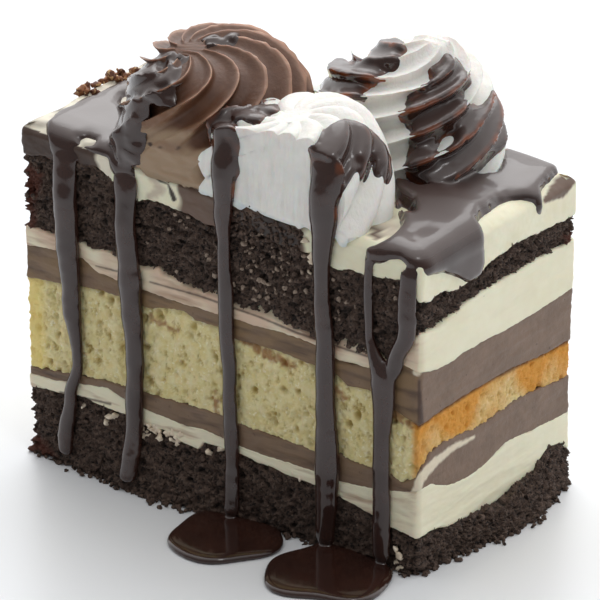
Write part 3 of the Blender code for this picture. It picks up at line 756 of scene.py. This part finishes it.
crumbs_here = np.clip((spots[:, 0] - 5.0 + wander) / 3, 0, 1) * np.clip((25.5 - spots[:, 0]) / 2, 0, 1)
crumbs_here *= np.clip(0.5 + 1.5 * wobble(spots, 2.5, 17) + (78.0 - spots[:, 2]) * 0.2, 0, 1)
give(piece, "crumbly", front * crumbs_here)
give(piece, "pink", marked(spots, PINK_MARKS, soft=5, rough=2.0, seed=6) * 0.55)
give(piece, "crack", marked(spots, CRACK_MARKS, soft=1, rough=0.5, seed=7))
settle(piece, icing_cream, ["icing_white"])


# %% [markdown]
# The piped rosettes. A star nozzle leaves ridges that turn as the cream rises. Each rosette is a grid of
# rings and sides: the radius follows a dome, ridges are drawn along slanting lines, and the front is cut
# flat where the knife went through.

# %% Rosettes
ROSETTES = {
    "rosette_chocolate": dict(centre=(-12.0, -14.0), radius=24.5, height=24.5, ridges=12, turn=125, sharp=0.9,
                              breadth=0.50, lean=(-6.0, -2.5), tip=0.6, slope=(0.08, 0.20), cut=-32.5),
    "rosette_white_front": dict(centre=(17.0, -24.0), radius=23.0, height=20.0, ridges=11, turn=95, sharp=0.0,
                                breadth=0.45, lean=(0.0, 0.0), tip=0.3, slope=(0.20, 0.15), cut=-32.7),
    "rosette_white_back": dict(centre=(20.5, 14.0), radius=24.5, height=23.5, ridges=7, turn=270, sharp=0.4,
                               breadth=0.56, lean=(7.0, 3.0), tip=4.6, slope=(0.02, 0.05), cut=-99.0),
}


def swirl(name, ridge, sides=300, rings=130, seed=0.0):
    """Rings and sides of one rosette, and a painted highlight for each corner: bright on ridge tops and along
    the edge of the cut.
    """
    rose = ROSETTES[name]
    (cx, cy), radius, cut, sharp = rose["centre"], rose["radius"], rose["cut"], rose["sharp"]
    corners, crest_highlight = [], []
    for j in range(rings + 1):
        rise = j / rings
        for k in range(sides):
            spin = 2 * math.pi * k / sides
            drift = 0.07 * wave(math.cos(spin) * 3, math.sin(spin) * 3, rise * 6, 2.0, seed)
            beat = abs(math.sin((spin + drift) * rose["ridges"] / 2))
            lobe = (1 - beat) ** (1 + sharp) if sharp > 0.3 else beat ** 0.8
            swell = math.sin(math.pi * (0.12 + 0.83 * rise)) ** 0.6
            body = radius * math.cos(math.pi / 2 * rise * 0.985) ** rose["breadth"]
            body *= 1 + 0.02 * wave(math.cos(spin) * 9, math.sin(spin) * 9, rise * 20, 5.0, seed + 1)
            across = max(body * (1 - ridge * (1 - lobe) * (0.5 + 0.5 * swell)), 0.01 * radius)
            angle = spin + math.radians(rose["turn"]) * rise
            x = cx + across * math.cos(angle) + rose["lean"][0] * rise ** 4
            y = cy + across * math.sin(angle) + rose["lean"][1] * rise ** 4
            foot = icing_top(min(max(x, -HALF_L), HALF_L), min(max(y, -HALF_D), HALF_D)) - 0.2
            tilt = rise * (rose["slope"][0] * (x - cx) + rose["slope"][1] * (y - cy))
            pulled = rose["tip"] * max(0.0, (rise - 0.8) / 0.2) ** 2 + tilt
            dome = rose["height"] * math.sin(math.pi / 2 * rise)
            z = foot + dome * (1 + 0.08 * (lobe - 0.5) * swell) + pulled
            z += 0.2 * wave(x, y, z, 1.6, seed + 2) * (lobe if sharp > 0.3 else 0.4)
            bright = lobe ** 6
            if y < cut:
                past = cut - y
                if sharp > 0.3:
                    y = cut + 0.32 * wave(x * 0.35, 0, z, 1.3, seed + 3) + 0.35 * wave(x, 0, z, 3.0, seed + 4)
                else:
                    y = cut + 0.22 * wave(x, 0, z * 0.12, 0.7, seed + 3) + 0.30 * wave(x, 0, z, 4.0, seed + 4)
                bright = max(0.0, 1 - past / 0.6)
                if j == 0:
                    z -= 0.5 + 2.2 * max(0.0, 0.3 + wave(x, 0, 0, 3.2, seed + 6))
            corners.append((x, y, z))
            crest_highlight.append(bright if sharp > 0.3 else 0.0)
    return corners, stacked(rings + 1, sides), crest_highlight


DRESSED = []
for seed, (solid, label, ridge, skin, slot) in enumerate([
        ("rosette_chocolate", "swirl_chocolate", 0.24, chocolate_swirl, "chocolate_cream"),
        ("rosette_white_front", "swirl_white_front", 0.17, white_swirl, "whipped_cream"),
        ("rosette_white_back", "swirl_white_back", 0.23, white_swirl, "whipped_cream")], 1):
    corners, faces, crest_highlight = swirl(solid, ridge, seed=seed * 2.0)
    piece = as_piece(label, corners, faces)
    if skin is chocolate_swirl:
        spots = corners_of(piece)
        nearest = KDTree(len(corners))
        for k, corner in enumerate(corners):
            nearest.insert(corner, k)
        nearest.balance()
        # Painted highlight on the ridge tops and along the edge of the cut.
        give(piece, "crest_highlight", [0.75 * crest_highlight[nearest.find(spot)[1]] for spot in spots])
        # The cut face in a lighter tan: partly the cut's own colour, and partly painted light that brightens
        # the shaded face.
        face = np.clip((ROSETTES[solid]["cut"] + 1.5 - spots[:, 1]) / 0.8, 0, 1)
        give(piece, "face", face)
        smear = (94.5 - spots[:, 2]) / 5.0 + 1.2 * wobble(spots * (0.4, 1, 1.6), 4.0, 2)
        give(piece, "pale", face * np.clip(smear, 0, 0.9))
        give(piece, "stain", face * np.clip(4.0 * wobble(spots * (0.5, 1, 1), 1.3, 14) - 2.0, 0, 1))
    settle(piece, skin, [solid])
    DRESSED.append(piece)


# %% [markdown]
# The sauce is a thick, glossy liquid, so what runs together is joined and remeshed into one smooth skin.
# There are three of them. Drips are tubes that hug the front, puddles are flat drops, and the sauce on top is
# a copy of the surface below it, lifted where the photograph shows sauce.

# %% Drips and puddles
DRIPS = {
    "drip_1": ((-43.4, 85.6, 7.4), (-42.3, 62, 7.0), (-41.6, 46, 6.0), (-40.6, 28, 3.4), (-42.8, 19, 3.8),
               (-44.3, 8, 4.8), (-44.4, 3.0, 4.2)),
    "drip_2": ((-24.9, 83.0, 8.0), (-24.6, 69, 6.0), (-23.4, 53, 6.8), (-22.8, 35, 5.2), (-23.2, 12, 5.2),
               (-23.6, 2.4, 5.0)),
    "drip_3": ((4.2, 97.2, 4.2), (4.2, 95.0, 7.0), (4.1, 84, 6.6), (3.7, 69, 3.8), (4.3, 54, 4.6),
               (5.2, 33, 4.2), (6.4, 1.4, 4.2)),
    "drip_4": ((33.2, 97.0, 5.6), (32.8, 93.5, 9.6), (31.8, 85, 7.6), (31.2, 66, 4.4), (32.2, 50, 5.2),
               (33.3, 18, 6.6), (32.4, 1.4, 5.0)),
    "drip_5": ((43.6, 75.5, 2.8), (43.8, 57, 2.6), (48.4, 47, 6.4), (48.0, 30, 4.8), (48.1, 1.4, 4.8)),
    "drip_6": ((54.0, 76.0, 5.4), (54.2, 60, 5.0), (51.0, 51, 4.2), (48.8, 45, 3.8)),
}
PUDDLES = {"puddle_1": (10.5, -42.0, 13.4, 0.05, 0.6), "puddle_2": (40.5, -42.5, 14.6, 0.08, 2.1)}
PUDDLE_HEIGHT = 1.7
PUDDLE_SIDE = ((0.9, 0.0), (0.985, 0.0), (1.0, 0.35), (0.985, 0.62), (0.95, 0.82), (0.9, 0.93), (0.8, 1.0),
               (0.5, 1.0), (0.2, 1.0))


STEP, ROUND_STEPS = 0.9, 2.5


def drip_shape(name, sides=18):
    """A tube that hugs the front face, round at both ends, through the places of one drip."""
    places = DRIPS[name]
    heights = [-place[1] for place in places]
    top, foot = places[0][1], places[-1][1]
    if top < 90:
        top = min(top, icing_top(places[0][0], -HALF_D) - 2.2)
    count = int((top - foot) / STEP)
    corners = []
    for j in range(count + 1):
        z = top - (top - foot) * j / count
        x = between(heights, [place[0] for place in places], -z)
        width = between(heights, [place[2] for place in places], -z) * (
            1 + 0.10 * wave(z, 0, 0, 6.0, top) + 0.05 * wave(z, 0, 0, 1.9, top + 1))
        x += 0.35 * wave(z, 0, 0, 9.0, top + 2)
        from_end = min(j, count - j) / ROUND_STEPS
        if from_end < 1:
            width *= math.sqrt(max(0.02, 1 - (1 - from_end) ** 2))
        proud = 0.15 + 0.85 * min((top - z) / 12.0, 1.0)
        back = -HALF_D - base_bulge(x, -HALF_D, max(z, 0), 0, -1)
        for k in range(sides):
            turn = 2 * math.pi * k / sides
            deep = math.sin(turn)
            deep = deep if deep > 0 else deep * 0.35
            out = 0.2 + proud * width * (deep * 0.40 + 0.10)
            corners.append((x + width / 2 * math.cos(turn), back - out, z))
    return corners, stacked(count + 1, sides)


def puddle_shape(name, sides=72):
    """A flat drop with a wavy rim, from its middle, radius, waviness and turn."""
    cx, cy, radius, lump, lean = PUDDLES[name]
    corners = []
    for share, level in PUDDLE_SIDE:
        for k in range(sides):
            angle = 2 * math.pi * k / sides
            rim = 1 + lump * math.sin(3 * angle + lean) + 0.6 * lump * math.sin(5 * angle + 2.1 * lean)
            x, y = cx + radius * rim * share * math.cos(angle), cy + radius * rim * share * math.sin(angle)
            corners.append((x, min(y, -HALF_D - base_bulge(x, y, 0, 0, -1) + 0.6), PUDDLE_HEIGHT * level))
    return corners, stacked(len(PUDDLE_SIDE), sides)


# %% [markdown]
# The sauce on top runs over whatever is there. A smooth rounded form of the icing's top carries the pool and
# the film, and copies of the rosettes, with shallower ridges, carry the rest. The outlines say which part is
# covered, as places of the picture, and only what the camera can see is poured on.

# %% Sauce on top
COVERED = {
    "left": [
        [(47, 123), (60, 113), (80, 102), (100, 94), (118, 84), (135, 74), (150, 66), (165, 54),
         (178, 50), (192, 46), (205, 38), (215, 34), (222, 39), (230, 33), (240, 33), (236, 42),
         (225, 45), (210, 46), (198, 51), (188, 57), (181, 66), (173, 79), (170, 100), (155, 99),
         (140, 97), (122, 96), (119, 104), (124, 112), (125, 124), (128, 140), (136, 160), (136, 178),
         (114, 176), (108, 160), (98, 156), (86, 150), (78, 148), (76, 160), (54, 160), (50, 148),
         (47, 136)],
        [(124, 108), (134, 98), (142, 100), (142, 122), (138, 140), (140, 166), (122, 166), (120, 140)]],
    "middle": [
        [(211, 126), (220, 118), (230, 111), (246, 108), (262, 105), (276, 103), (280, 112), (268, 115),
         (260, 124), (250, 123), (240, 120), (234, 124), (238, 140), (239, 175), (216, 175), (213, 140)]],
    "right": [
        [(366, 248), (383, 245), (395, 238), (403, 226), (400, 212), (391, 200), (387, 186), (396, 172),
         (412, 160), (440, 150), (475, 146), (500, 136), (519, 135), (530, 146), (545, 151), (560, 160),
         (568, 166), (560, 172), (553, 177), (545, 184), (540, 192), (542, 206), (540, 214), (536, 212),
         (532, 204), (522, 200), (508, 200), (497, 204), (488, 213), (480, 218), (475, 225), (480, 236),
         (483, 250), (483, 262), (478, 276), (468, 282), (456, 276), (444, 271), (432, 274), (420, 279),
         (412, 270), (400, 261), (380, 263), (367, 260)]],
    "cap": [
        [(308, 149), (318, 143), (321, 133), (330, 125), (343, 120), (356, 121), (367, 127), (377, 135),
         (385, 146), (391, 160), (392, 172), (388, 186), (384, 184), (383, 170), (380, 178), (375, 176),
         (373, 160), (369, 164), (368, 174), (363, 185), (359, 180), (359, 162), (356, 160), (356, 170),
         (351, 180), (345, 188), (338, 200), (318, 200), (311, 180), (311, 160)]],
    "back": [
        [(322, 76), (330, 62), (342, 48), (350, 50), (345, 60), (352, 68), (370, 56), (376, 45),
         (380, 40), (395, 38), (404, 43), (405, 50), (398, 54), (399, 60), (392, 68), (385, 66),
         (380, 76), (372, 80), (362, 82), (362, 92), (360, 100), (345, 99), (332, 92), (322, 90)],
        [(447, 54), (455, 60), (470, 76), (471, 84), (463, 90), (464, 98), (450, 100), (435, 104),
         (420, 112), (410, 121), (403, 118), (406, 109), (413, 100), (428, 92), (427, 85), (433, 79),
         (433, 70), (443, 64)],
        [(410, 126), (420, 116), (436, 107), (452, 101), (462, 100), (470, 109), (482, 106), (490, 98),
         (494, 88), (499, 98), (506, 108), (512, 107), (512, 118), (519, 124), (521, 134), (512, 142),
         (500, 149), (488, 157), (480, 165), (470, 172), (455, 182), (440, 186), (425, 184), (412, 178),
         (407, 165), (414, 150), (414, 138)]],
}
HOLES = [[(157, 62), (164, 55), (169, 60), (167, 72), (160, 77)], [(172, 60), (184, 58), (181, 66),
          (173, 71)],
         [(158, 88), (170, 83), (172, 97), (166, 101), (158, 96)],
         [(80, 140), (88, 137), (97, 141), (94, 147), (82, 147)], [(528, 146), (534, 145), (546, 152),
          (540, 154)],
         [(433, 150), (438, 135), (447, 128), (457, 131), (456, 142), (448, 152), (440, 163), (434, 160)],
         [(392, 197), (399, 202), (412, 210), (413, 218), (404, 217), (399, 208)]]


def rounded_form(step=0.5, radius=4.2, skirt=11.0):
    """The icing's top with its front and right edges rounded over, as corners and faces."""
    def rounded(x, y, z):
        core = Vector((min(max(x, radius - HALF_L), HALF_L - radius),
                       min(max(y, radius - HALF_D), HALF_D - radius), min(z, -radius)))
        spot = core + (Vector((x, y, z)) - core).normalized() * radius
        return spot.x, spot.y, spot.z + icing_top(spot.x, spot.y)

    across, deep, down = (int(size / step) for size in (LENGTH, DEPTH, skirt))
    xs = [LENGTH * k / across - HALF_L for k in range(across + 1)]
    ys = [DEPTH * k / deep - HALF_D for k in range(deep + 1)]
    zs = [skirt * k / down - skirt for k in range(down + 1)]
    sheets = (([[(x, y, 0.0) for x in xs] for y in ys]), [[(x, -HALF_D, z) for x in xs] for z in zs],
              [[(HALF_L, y, z) for y in ys] for z in zs])
    corners, faces = [], []
    for sheet in sheets:
        start, wide = len(corners), len(sheet[0])
        corners += [rounded(*spot) for row in sheet for spot in row]
        firsts = [start + j * wide + k for j in range(len(sheet) - 1) for k in range(wide - 1)]
        faces += [(first, first + 1, first + wide + 1, first + wide) for first in firsts]
    return corners, faces


def joined_tree(pieces):
    corners, faces = [], []
    for piece in pieces:
        start = len(corners)
        corners += [tuple(vert.co) for vert in piece.data.vertices]
        faces += [tuple(start + k for k in poly.vertices) for poly in piece.data.polygons]
    return BVHTree.FromPolygons(corners, faces)


top_form = as_piece("top_form", *rounded_form())
if top_form.data.vertices[0].normal.z < -0.1:
    top_form.data.flip_normals()
seen = joined_tree([top_form] + DRESSED)
forms = [top_form]
for label, solid, ridge, seed in (("form_chocolate", "rosette_chocolate", 0.06, 2.0),
                                  ("form_white_back", "rosette_white_back", 0.14, 6.0)):
    forms.append(as_piece(label, *swirl(solid, ridge, seed=seed)[:2]))
print("form under the sauce:", len(top_form.data.polygons), "faces")


RIM, HEAP, POOL = 7.0, 0.035, 1.8


def lifted_skin(carrier, outlines, thickness, seed):
    """The covered part of a surface, lifted, as corners and faces of a closed shell with a rounded rim."""
    spots, ways = corners_of(carrier), normals_of(carrier)
    px, py = picture(spots)
    field = np.full(len(spots), -99.0)
    for outline in outlines:
        field = np.maximum(field, outline_field(px, py, outline))
    for outline in HOLES:
        field = np.minimum(field, -outline_field(px, py, outline))
    near = np.nonzero(field > -7)[0]
    lift = np.full(len(spots), -1.0)
    for k in near:
        if ways[k] @ np.array(BACK) < -0.05:
            continue
        start = Vector(spots[k] * MM) + Vector(ways[k]) * 0.0006
        hit = seen.ray_cast(start, BACK)
        if hit[0] is not None and hit[3] < 0.05:
            continue
        edge = field[k] + 1.3 * wave(*spots[k], 4.0, seed) + 0.7 * wave(*spots[k], 1.6, seed + 1)
        lift[k] = min(max(edge / RIM, -1.0), 1.0)
    keep = lift > -0.99
    faces = [tuple(poly.vertices) for poly in carrier.data.polygons
             if len(poly.vertices) < 9 and all(keep[k] for k in poly.vertices)]
    used = sorted({k for face in faces for k in face})
    if not used:
        return [], []
    index = {k: n for n, k in enumerate(used)}
    inwards = np.clip(0.59 * (HALF_L - spots[:, 0]) + 0.80 * (spots[:, 1] + HALF_D) - 4.0, 0, 24)
    heap = 1.0 + HEAP * inwards * np.clip((8.0 - spots[:, 1]) / 12.0, 0, 1) * (thickness >= POOL)
    heap *= 0.55 + 0.45 * np.clip(ways[:, 2] / 0.7, 0, 1)
    full = thickness * heap
    rise = np.array([full[k] * math.sqrt(1 - (1 - lift[k]) ** 2) + 0.10 * wave(*spots[k], 6.0, seed + 2)
                     if lift[k] > 0 else 0.9 * lift[k] for k in used])
    outer = spots[used] + ways[used] * rise[:, None]
    inner = spots[used] - ways[used] * 1.1
    corners = np.vstack([outer, inner])
    count = len(used)
    new = [tuple(index[k] for k in face) for face in faces]
    shell = list(new) + [tuple(corner + count for corner in reversed(face)) for face in new]
    edges = {}
    for face in new:
        for a, b in zip(face, face[1:] + face[:1]):
            edges[(a, b)] = edges.get((a, b), 0) + 1
    shell += [(b, a, a + count, b + count) for (a, b) in edges if (b, a) not in edges]
    return corners.tolist(), shell


def pour(name, drips, puddles, covers, seed, voxel=0.42):
    """Join drips, puddles and lifted films, and remesh them into one smooth skin."""
    corners, faces = [], []

    def add(more):
        start = len(corners)
        corners.extend(more[0])
        faces.extend(tuple(start + k for k in face) for face in more[1])

    for each in drips:
        add(drip_shape(each))
    for each in puddles:
        add(puddle_shape(each))
    for carrier, cover, thickness in covers:
        add(lifted_skin(bpy.data.objects[carrier], COVERED[cover], thickness, seed))
    piece = as_piece(name, corners, faces)
    for kind, settings in (("REMESH", {"mode": "VOXEL", "voxel_size": voxel * MM, "use_smooth_shade": True}),
                           ("SMOOTH", {"factor": 0.5, "iterations": 7})):
        step = piece.modifiers.new(kind, kind)
        for key, value in settings.items():
            setattr(step, key, value)
    made = bpy.data.meshes.new_from_object(piece.evaluated_get(bpy.context.evaluated_depsgraph_get()))
    piece.modifiers.clear()
    piece.data = made
    for vert in made.vertices:
        vert.co.z = max(vert.co.z, 0.0)
    return piece


def thinness(piece, limit):
    """1 where the sauce over the cream is a thin film, from how far it is through it along Y or Z."""
    tree = joined_tree([piece])
    spots, ways = corners_of(piece), normals_of(piece)
    values = np.zeros(len(spots))
    for k in np.nonzero((spots[:, 2] > 79.0) & (spots[:, 0] > -4.0))[0]:
        start = Vector(spots[k] * MM) - Vector(ways[k]) * 0.0001
        least = 1.0
        for axis in ((0, 1, 0), (0, 0, 1)):
            through = 0.0
            for sign in (1, -1):
                hit = tree.ray_cast(start, Vector(axis) * sign)
                through += hit[3] if hit[0] is not None else 0.0
            least = min(least, through)
        patchy = min(max(0.55 + 1.6 * wave(*spots[k], 3.5, 7), 0), 1)
        values[k] = min(max(1 - (least - limit * 0.35) / limit, 0.0), 1.0) * patchy
    give(piece, "thin", values)


# Upward-facing sauce on top takes a greyer brown: a painted sheen standing in for the reflection on the pool
# and film. It is also rougher there.
sauce = finish(
    "sauce", (58, 35, 28), (44, 27, 23), 120, softness=0.3, roughness=0.13, grain_scale=110, bump=0.07,
    bump_depth=0.0008, coat=0.4, ior=1.5, mixes={"flat": (70, 54, 50), "thin": (132, 66, 28)},
    dull=("flat", 0.45))
SAUCES = [
    ("sauce_left", ("drip_1",), (), (("top_form", "left", 1.4), ("form_chocolate", "left", 1.0)),
     ["icing_chocolate"], "chocolate_icing"),
    ("sauce_middle", ("drip_2", "drip_3"), ("puddle_1",),
     (("top_form", "middle", 1.4), ("swirl_white_front", "middle", 0.9), ("form_chocolate", "middle", 0.9)),
     ["icing_white"], "white_icing"),
    ("sauce_right", ("drip_4", "drip_5", "drip_6"), ("puddle_2",),
     (("top_form", "right", POOL), ("swirl_white_front", "cap", 1.0), ("form_white_back", "back", 1.0)),
     ["icing_white"], "white_icing"),
]
for seed, (name, drips, puddles, covers, nodes, slot) in enumerate(SAUCES, 40):
    piece = pour(name, drips, puddles, covers, seed)
    thinness(piece, 0.0014)
    spots, ways = corners_of(piece), normals_of(piece)
    # Painted sheen: a greyer brown on the upward-facing sauce on top.
    give(piece, "flat", np.clip((ways[:, 2] - 0.5) / 0.3, 0, 1) * (spots[:, 2] > 70.0))
    settle(piece, sauce, nodes)
for form in forms:
    bpy.data.objects.remove(form)

# %% [markdown]
# Crumbs fall off wherever a knife goes through sponge. They all follow one rule, so a Geometry Nodes tree
# makes them: one small rough ball on each point, turned and sized at random, and made real at the end. Points
# are placed along the foot of the slice, on the cut faces and at the worn left end.

# %% Scattered crumbs
scatter_tree, given, out = relief_group("Scattered crumbs", [
    ("Size", "Float", 0.001), ("Roughness", "Float", 0.5), ("Seed", "Int", 1)])
ball = node(scatter_tree, "GeometryNodeMeshIcoSphere", {"Subdivisions": 2, "Radius": given["Size"]})
turned = node(scatter_tree, "FunctionNodeRandomValue", {"Max": (6.28, 6.28, 6.28), "Seed": given["Seed"]},
              data_type="FLOAT_VECTOR").outputs[0]
sized = node(scatter_tree, "FunctionNodeRandomValue", {
    "Min": (0.4, 0.4, 0.35), "Max": (1.4, 1.3, 1.0), "Seed": given["Seed"]},
    data_type="FLOAT_VECTOR").outputs[0]
placed = node(scatter_tree, "GeometryNodeInstanceOnPoints", {
    "Points": given["Geometry"], "Instance": ball.outputs["Mesh"], "Rotation": turned, "Scale": sized})
loose = node(scatter_tree, "GeometryNodeRealizeInstances", {0: placed.outputs[0]}).outputs[0]
spot = node(scatter_tree, "GeometryNodeInputPosition").outputs[0]
rough = calculate(scatter_tree, "SUBTRACT", cloud(scatter_tree, spot, 900.0, 2.0), 0.5)
most = calculate(scatter_tree, "MULTIPLY", given["Size"], 4.0)
most = calculate(scatter_tree, "MULTIPLY", given["Roughness"], most)
ending(scatter_tree, loose, calculate(scatter_tree, "MULTIPLY", rough, most), given["Material"], out)


def scatter(name, places, size, material, seed, roughness=0.5):
    mesh = bpy.data.meshes.new(name)
    mesh.from_pydata((np.asarray(places) * MM).tolist(), [], [])
    piece = linked(name, mesh)
    grow_relief(piece, scatter_tree, Size=size * MM, Roughness=roughness, Seed=seed, Material=material)
    for vert in piece.data.vertices:
        vert.co.z = max(vert.co.z, 0.00002)
    settle(piece, material, [])


chance = random.Random(7)
foot = []
for _ in range(150):
    x = chance.uniform(-56, 56)
    out_y = HALF_D + base_bulge(x, -HALF_D, 0.0, 0, -1) - 0.9 + abs(chance.gauss(0, 1.1))
    foot.append((x, -out_y, 0.35))
for _ in range(80):
    y = chance.uniform(-31, 31)
    foot.append((HALF_L + base_bulge(HALF_L, y, 0.0, 1, 0) - 0.9 + abs(chance.gauss(0, 1.1)), y, 0.35))
for _ in range(170):
    x, name = chance.uniform(-56, 56.5), chance.choice(("top_sponge", "base_sponge"))
    low = 60.0 if name == "top_sponge" else 1.5
    z = chance.uniform(low, layer_top(name, x, -HALF_D) - 0.5)
    foot.append((x, -HALF_D + 0.5 - base_bulge(x, -HALF_D, z, 0, -1) * (low < 2), z))
for _ in range(130):
    foot.append((chance.uniform(6, 25), -HALF_D - 0.1, 71.5 + 7.5 * chance.random() ** 1.6))
for _ in range(90):
    y, name = chance.uniform(-31, 31.5), chance.choice(("top_sponge", "base_sponge"))
    low = 60.5 if name == "top_sponge" else 1.2
    z = chance.uniform(low, layer_top(name, HALF_L, y) - 0.3)
    foot.append((HALF_L - 0.6 + base_bulge(HALF_L, y, z, 1, 0) * (low < 2), y, z))
scatter("dark_crumbs", foot, 0.62, dark_crumb, 3, 1.1)

pale_crumb = finish("pale_crumb", (120, 102, 90), (160, 142, 126), 900, softness=0.1, grain_scale=1500,
                    bump=0.9)
flecks = [(chance.gauss(19, 8), -HALF_D + 0.25, chance.uniform(56.5, 74.0)) for _ in range(75)]
flecks += [(chance.uniform(-20, 56), -HALF_D + 0.25, chance.uniform(57.5, 73.0)) for _ in range(35)]
flecks = [(x, y, z) for x, y, z in flecks if x < 56 and z < layer_top("top_sponge", x, -HALF_D) + 1.5
          and z > layer_top("upper_white_cream", x, -HALF_D) + 0.8]
scatter("pale_crumbs", flecks, 0.5, pale_crumb, 4, 1.1)

bits = [(x, -HALF_D - base_bulge(x, -HALF_D, z, 0, -1) + 0.35, z) for x, z in
        [(-26 + 16 * chance.random(), 17.8 - 2.2 * abs(chance.gauss(0, 1))) for _ in range(30)]
        + [(-50 + 100 * chance.random(), 16.8 - abs(chance.gauss(0, 1.0))) for _ in range(12)]]
bits += [(29.0 + chance.gauss(0, 1.6), -HALF_D - 0.1, 71.0 + chance.gauss(0, 1.6)) for _ in range(12)]
corner_y = -HALF_D - base_bulge(54, -HALF_D, 2, 0, -1) - 0.2
bits += [(51.0 + 5 * chance.random(), corner_y, 6 * chance.random()) for _ in range(5)]
cream_crumb = finish("cream_crumb", (242, 228, 206), (226, 208, 184), 600, softness=0.15, roughness=0.5,
                     bump=0.5)
scatter("cream_bits", bits, 0.8, cream_crumb, 5, 1.1)

nut_brown = finish("nut_brown", (150, 96, 58), (92, 52, 36), 500, softness=0.1, grain_scale=1200, bump=0.8,
                   speckles=[((214, 176, 124), 900, 0.60)])
NUT_HEAPS = ((-53, 4, 16, 3.2), (-47, 18, 18, 3.0), (-52, 22, 10, 2.5), (-36, 27, 9, 2.5),
             (-56, -10, 6, 2.0))
nuts = []
for middle_x, middle_y, count, wide in NUT_HEAPS:
    for _ in range(count):
        x, y = chance.gauss(middle_x, wide), chance.gauss(middle_y, wide)
        x, y = min(max(x, -56.0), -25.0), min(max(y, -30.0), 31.0)
        nuts.append((x, y, icing_top(x, y) + 0.3 + 0.7 * chance.random()))
scatter("nut_bits", nuts, 1.25, nut_brown, 9, 0.8)

# %% [markdown]
# The floor and the light. The photograph is bright and white all round: a wide window stands behind on the
# left, and the long face is in soft shade. A gradient round the scene gives that shade, one wide lamp stands
# for the window, and a small one draws highlights on the sauce. The plate is left out, so the floor is pale.

# %% Floor, light and surroundings
BRIGHT_WAY, DIMMEST, BRIGHTEST = (-0.20, 0.75, 0.60), 0.25, 1.4
MIDDLE = (0, 0, 0.08)
floor_mesh = bpy.data.meshes.new("floor")
floor_mesh.from_pydata([(-3, -3, 0), (3, -3, 0), (3, 3, 0), (-3, 3, 0)], [], [(0, 1, 2, 3)])
floor = linked("floor", floor_mesh)
floor_mesh.materials.append(finish("pale_floor", (236, 238, 240), (232, 234, 237), 3, softness=0.12,
                                   roughness=0.35, grain_scale=40, bump=0.02))

world = bpy.data.worlds.new("surroundings")
bpy.context.scene.world = world
world.use_nodes = True
sky = world.node_tree
backdrop = sky.nodes["Background"]
backdrop.inputs["Color"].default_value = (1.0, 1.0, 1.0, 1)
heading = node(sky, "ShaderNodeTexCoord").outputs["Generated"]
towards = node(sky, "ShaderNodeVectorMath", {0: heading, 1: Vector(BRIGHT_WAY).normalized()},
               operation="DOT_PRODUCT").outputs["Value"]
level = node(sky, "ShaderNodeMapRange", {
    "Value": towards, "From Min": -0.30, "From Max": 0.9, "To Min": DIMMEST, "To Max": BRIGHTEST},
    interpolation_type="SMOOTHSTEP")
wire(sky, level.outputs["Result"], backdrop.inputs["Strength"])
bpy.context.scene.view_settings.view_transform = "Standard"


def soft_light(name, place, size, power):
    data = bpy.data.lights.new(name, "AREA")
    data.shape, data.size, data.energy = "DISK", size, power
    lamp = linked(name, data)
    lamp.location = place
    lamp.rotation_euler = (Vector(place) - Vector(MIDDLE)).to_track_quat("Z", "Y").to_euler()


soft_light("window_behind", (-0.85, 1.15, 1.65), 1.7, 17)
soft_light("small_lamp", (0.45, -0.25, 1.2), 0.22, 1.2)
print("floor and lights are set")
